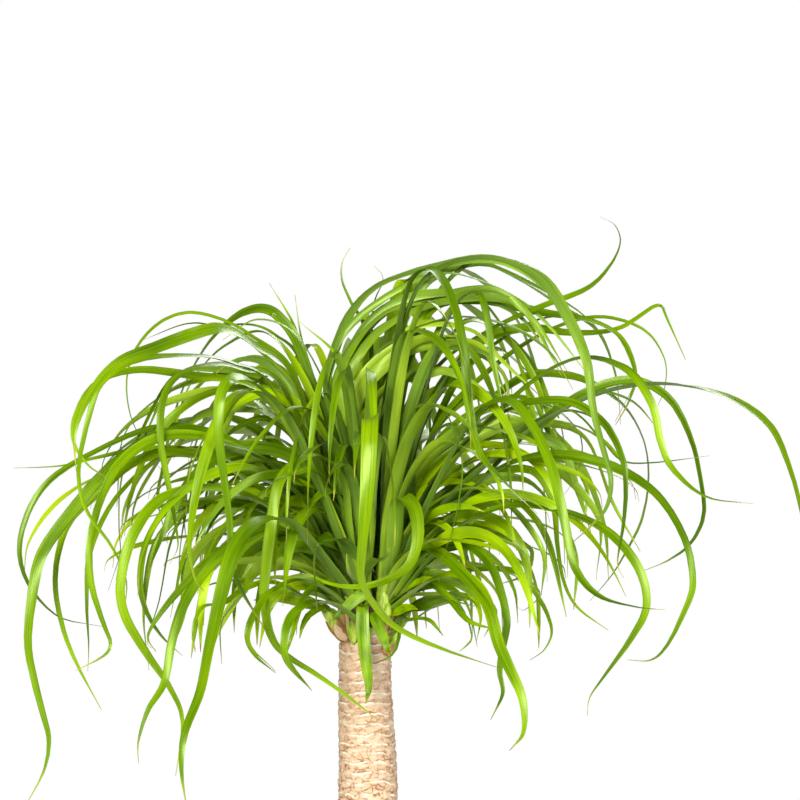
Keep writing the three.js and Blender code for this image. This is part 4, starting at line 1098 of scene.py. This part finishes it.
def addSheath(bm, layers, number):
    s = sheathSize
    turn = 2 * math.pi * (number + s["turnScatter"] * chance(number, 41)) / s["count"]
    top = s["top"] + scatter(s["topScatter"], number, 42)
    drop = s["drop"] + scatter(s["dropScatter"], number, 43)
    outer = s["outer"] + scatter(s["outerScatter"], number, 44)
    line = [(s["inner"], 4), (mix(s["inner"], outer, 0.7), 3), (outer, -0.25 * drop),
            (outer + 1, -0.6 * drop), (outer - 2, -drop)]
    points = [heart + around(turn, radius, top + up) for radius, up in line]
    width = s["width"] * mix(s["narrowest"], s["widest"], chance(number, 45))
    addLeaf(bm, layers, {"points": points, "width": width, "turn": 0}, chance(number, 46))


def addScales(bm, layers, number, place, size, lean):  # cupped scales under a side shoot
    s = scaleSize
    upward = Matrix.Rotation(math.radians(lean), 3, "Y") @ Vector((0, 0, 1))
    for scale in range(s["perShoot"]):
        strayed = s["turnScatter"] * chance(number, scale + 47)
        outward = around(math.pi * (s["firstTurn"] + s["turnStep"] * scale + strayed), 1, 0)
        line = [(0.3, -42), (8, -40), (12, -28), (12.5, -12 + s["rise"] * chance(number, scale + 51))]
        points = [heart + Vector(place) + size * (outward * radius + upward * up) for radius, up in line]
        leaf = {"points": points, "width": s["width"] * size, "turn": 0}
        addLeaf(bm, layers, leaf, chance(scale, number + 55))


def makeDrySheaths():
    bm = bmesh.new()
    layers = leafLayers(bm)
    for number in range(sheathSize["count"]):
        addSheath(bm, layers, number)
    for number, (_, place, size, lean) in enumerate(sideShoots):
        addScales(bm, layers, number, place, size, lean)
    finishPiece("dry_leaf_bases", bm, [drySheath])


def makeStub():
    s = stubSize
    bm = spunShape(s["outline"], s["sides"])
    for v in bm.verts:
        rough = v.co * s["roughness"] * noise.noise(v.co / (s["roughSpan"] * mm))
        v.co += (heart + Vector(s["place"])) * mm + rough
    finishPiece("dead_stub", bm, [deadWood])


makeDrySheaths()
makeStub()
print("dry leaf bases and dead stub made")


# Stage: a pale floor, soft light from the front left and from behind, and the photograph's view

stageSize = {"floorRadius": 13.0, "floorDrop": 0.0005, "floorColour": "f1f0ee", "floorSides": 96}

viewSize = {
    "target": (0.032, 0.0, 0.940), "distance": 12.0, "field": 0.8, "sensor": 36, "near": 0.5, "far": 200,
}

# A white studio wall all round, which lights the plant by lightPart of what shows. It dims upwards, from
# wallTo to ceilingFrom, to ceilingPart. Both are the upward parts of a view ray of unit length.
wallLight = {"wallTo": 0.12, "ceilingFrom": 0.45, "ceilingPart": 0.6, "lightPart": 0.21}


def makeStage():
    s = stageSize
    material, tree = newMaterial("matt studio floor")
    surface = addNode(tree, "BsdfPrincipled", {"Base Color": linear(s["floorColour"]), "Roughness": 0.9})
    addNode(tree, "OutputMaterial", links={"Surface": surface})
    bm = bmesh.new()
    bmesh.ops.create_circle(bm, cap_ends=True, segments=s["floorSides"], radius=s["floorRadius"],
                            matrix=Matrix.Translation((0, 0, -s["floorDrop"])))
    floor = addObject("floor", bm, [material])


# Each lamp is as large as a soft studio disc and far off, so the floor is lit evenly: its direction from the
# crown, how many degrees across it looks, and its strength.
lamps = {
    "key": {"toward": (-1.63, -4.5, 1.41), "across": 23, "strength": 4.35, "colour": "fffaf2"},
    "fill": {"toward": (2.87, -3.6, 1.16), "across": 24, "strength": 1.95, "colour": "fbfcff"},
    "rim": {"toward": (1.17, 3.0, 2.26), "across": 29, "strength": 1.6, "colour": "ffffff"},
}


def makeLamps():
    for name, lamp in lamps.items():
        data = bpy.data.lights.new(name, "SUN")
        data.energy, data.angle = lamp["strength"], math.radians(lamp["across"])
        data.color = linear(lamp["colour"])[:3]
        shining = bpy.data.objects.new(name, data)
        shining.rotation_euler = (-Vector(lamp["toward"])).to_track_quat("-Z", "Y").to_euler()
        bpy.context.scene.collection.objects.link(shining)


def makeWorld():
    s = wallLight
    world = bpy.data.worlds.new("white studio")
    world.use_nodes = True
    tree = world.node_tree
    tree.nodes.clear()
    ray = addNode(tree, "TexCoord", output="Generated")
    height = addNode(tree, "SeparateXYZ", links={"Vector": ray}, output="Z")
    wall = addNode(tree, "MapRange", {
        "From Min": s["wallTo"], "From Max": s["ceilingFrom"], "To Min": 1.0, "To Max": s["ceilingPart"]},
        {"Value": height})
    seen = addNode(tree, "LightPath", output="Is Camera Ray")
    share = addNode(tree, "MapRange", {"To Min": s["lightPart"]}, {"Value": seen})
    power = addNode(tree, "Math", {"operation": "MULTIPLY"}, {0: wall, 1: share})
    sky = addNode(tree, "Background", {"Color": (1, 1, 1, 1)}, {"Strength": power})
    addNode(tree, "OutputWorld", links={"Surface": sky})
    bpy.context.scene.world = world


def makeCamera():
    s = viewSize
    data = bpy.data.cameras.new("camera")
    data.sensor_width = s["sensor"]
    data.lens = s["sensor"] * s["distance"] / s["field"]
    data.clip_start, data.clip_end = s["near"], s["far"]
    camera = bpy.data.objects.new("camera", data)
    camera.location = Vector(s["target"]) - Vector((0, s["distance"], 0))
    camera.rotation_euler = (math.pi / 2, 0, 0)
    bpy.context.scene.collection.objects.link(camera)
    bpy.context.scene.camera = camera
    bpy.context.scene.view_settings.view_transform = "Standard"


makeStage()
makeLamps()
makeWorld()
makeCamera()
print("stage, lamps and camera made")
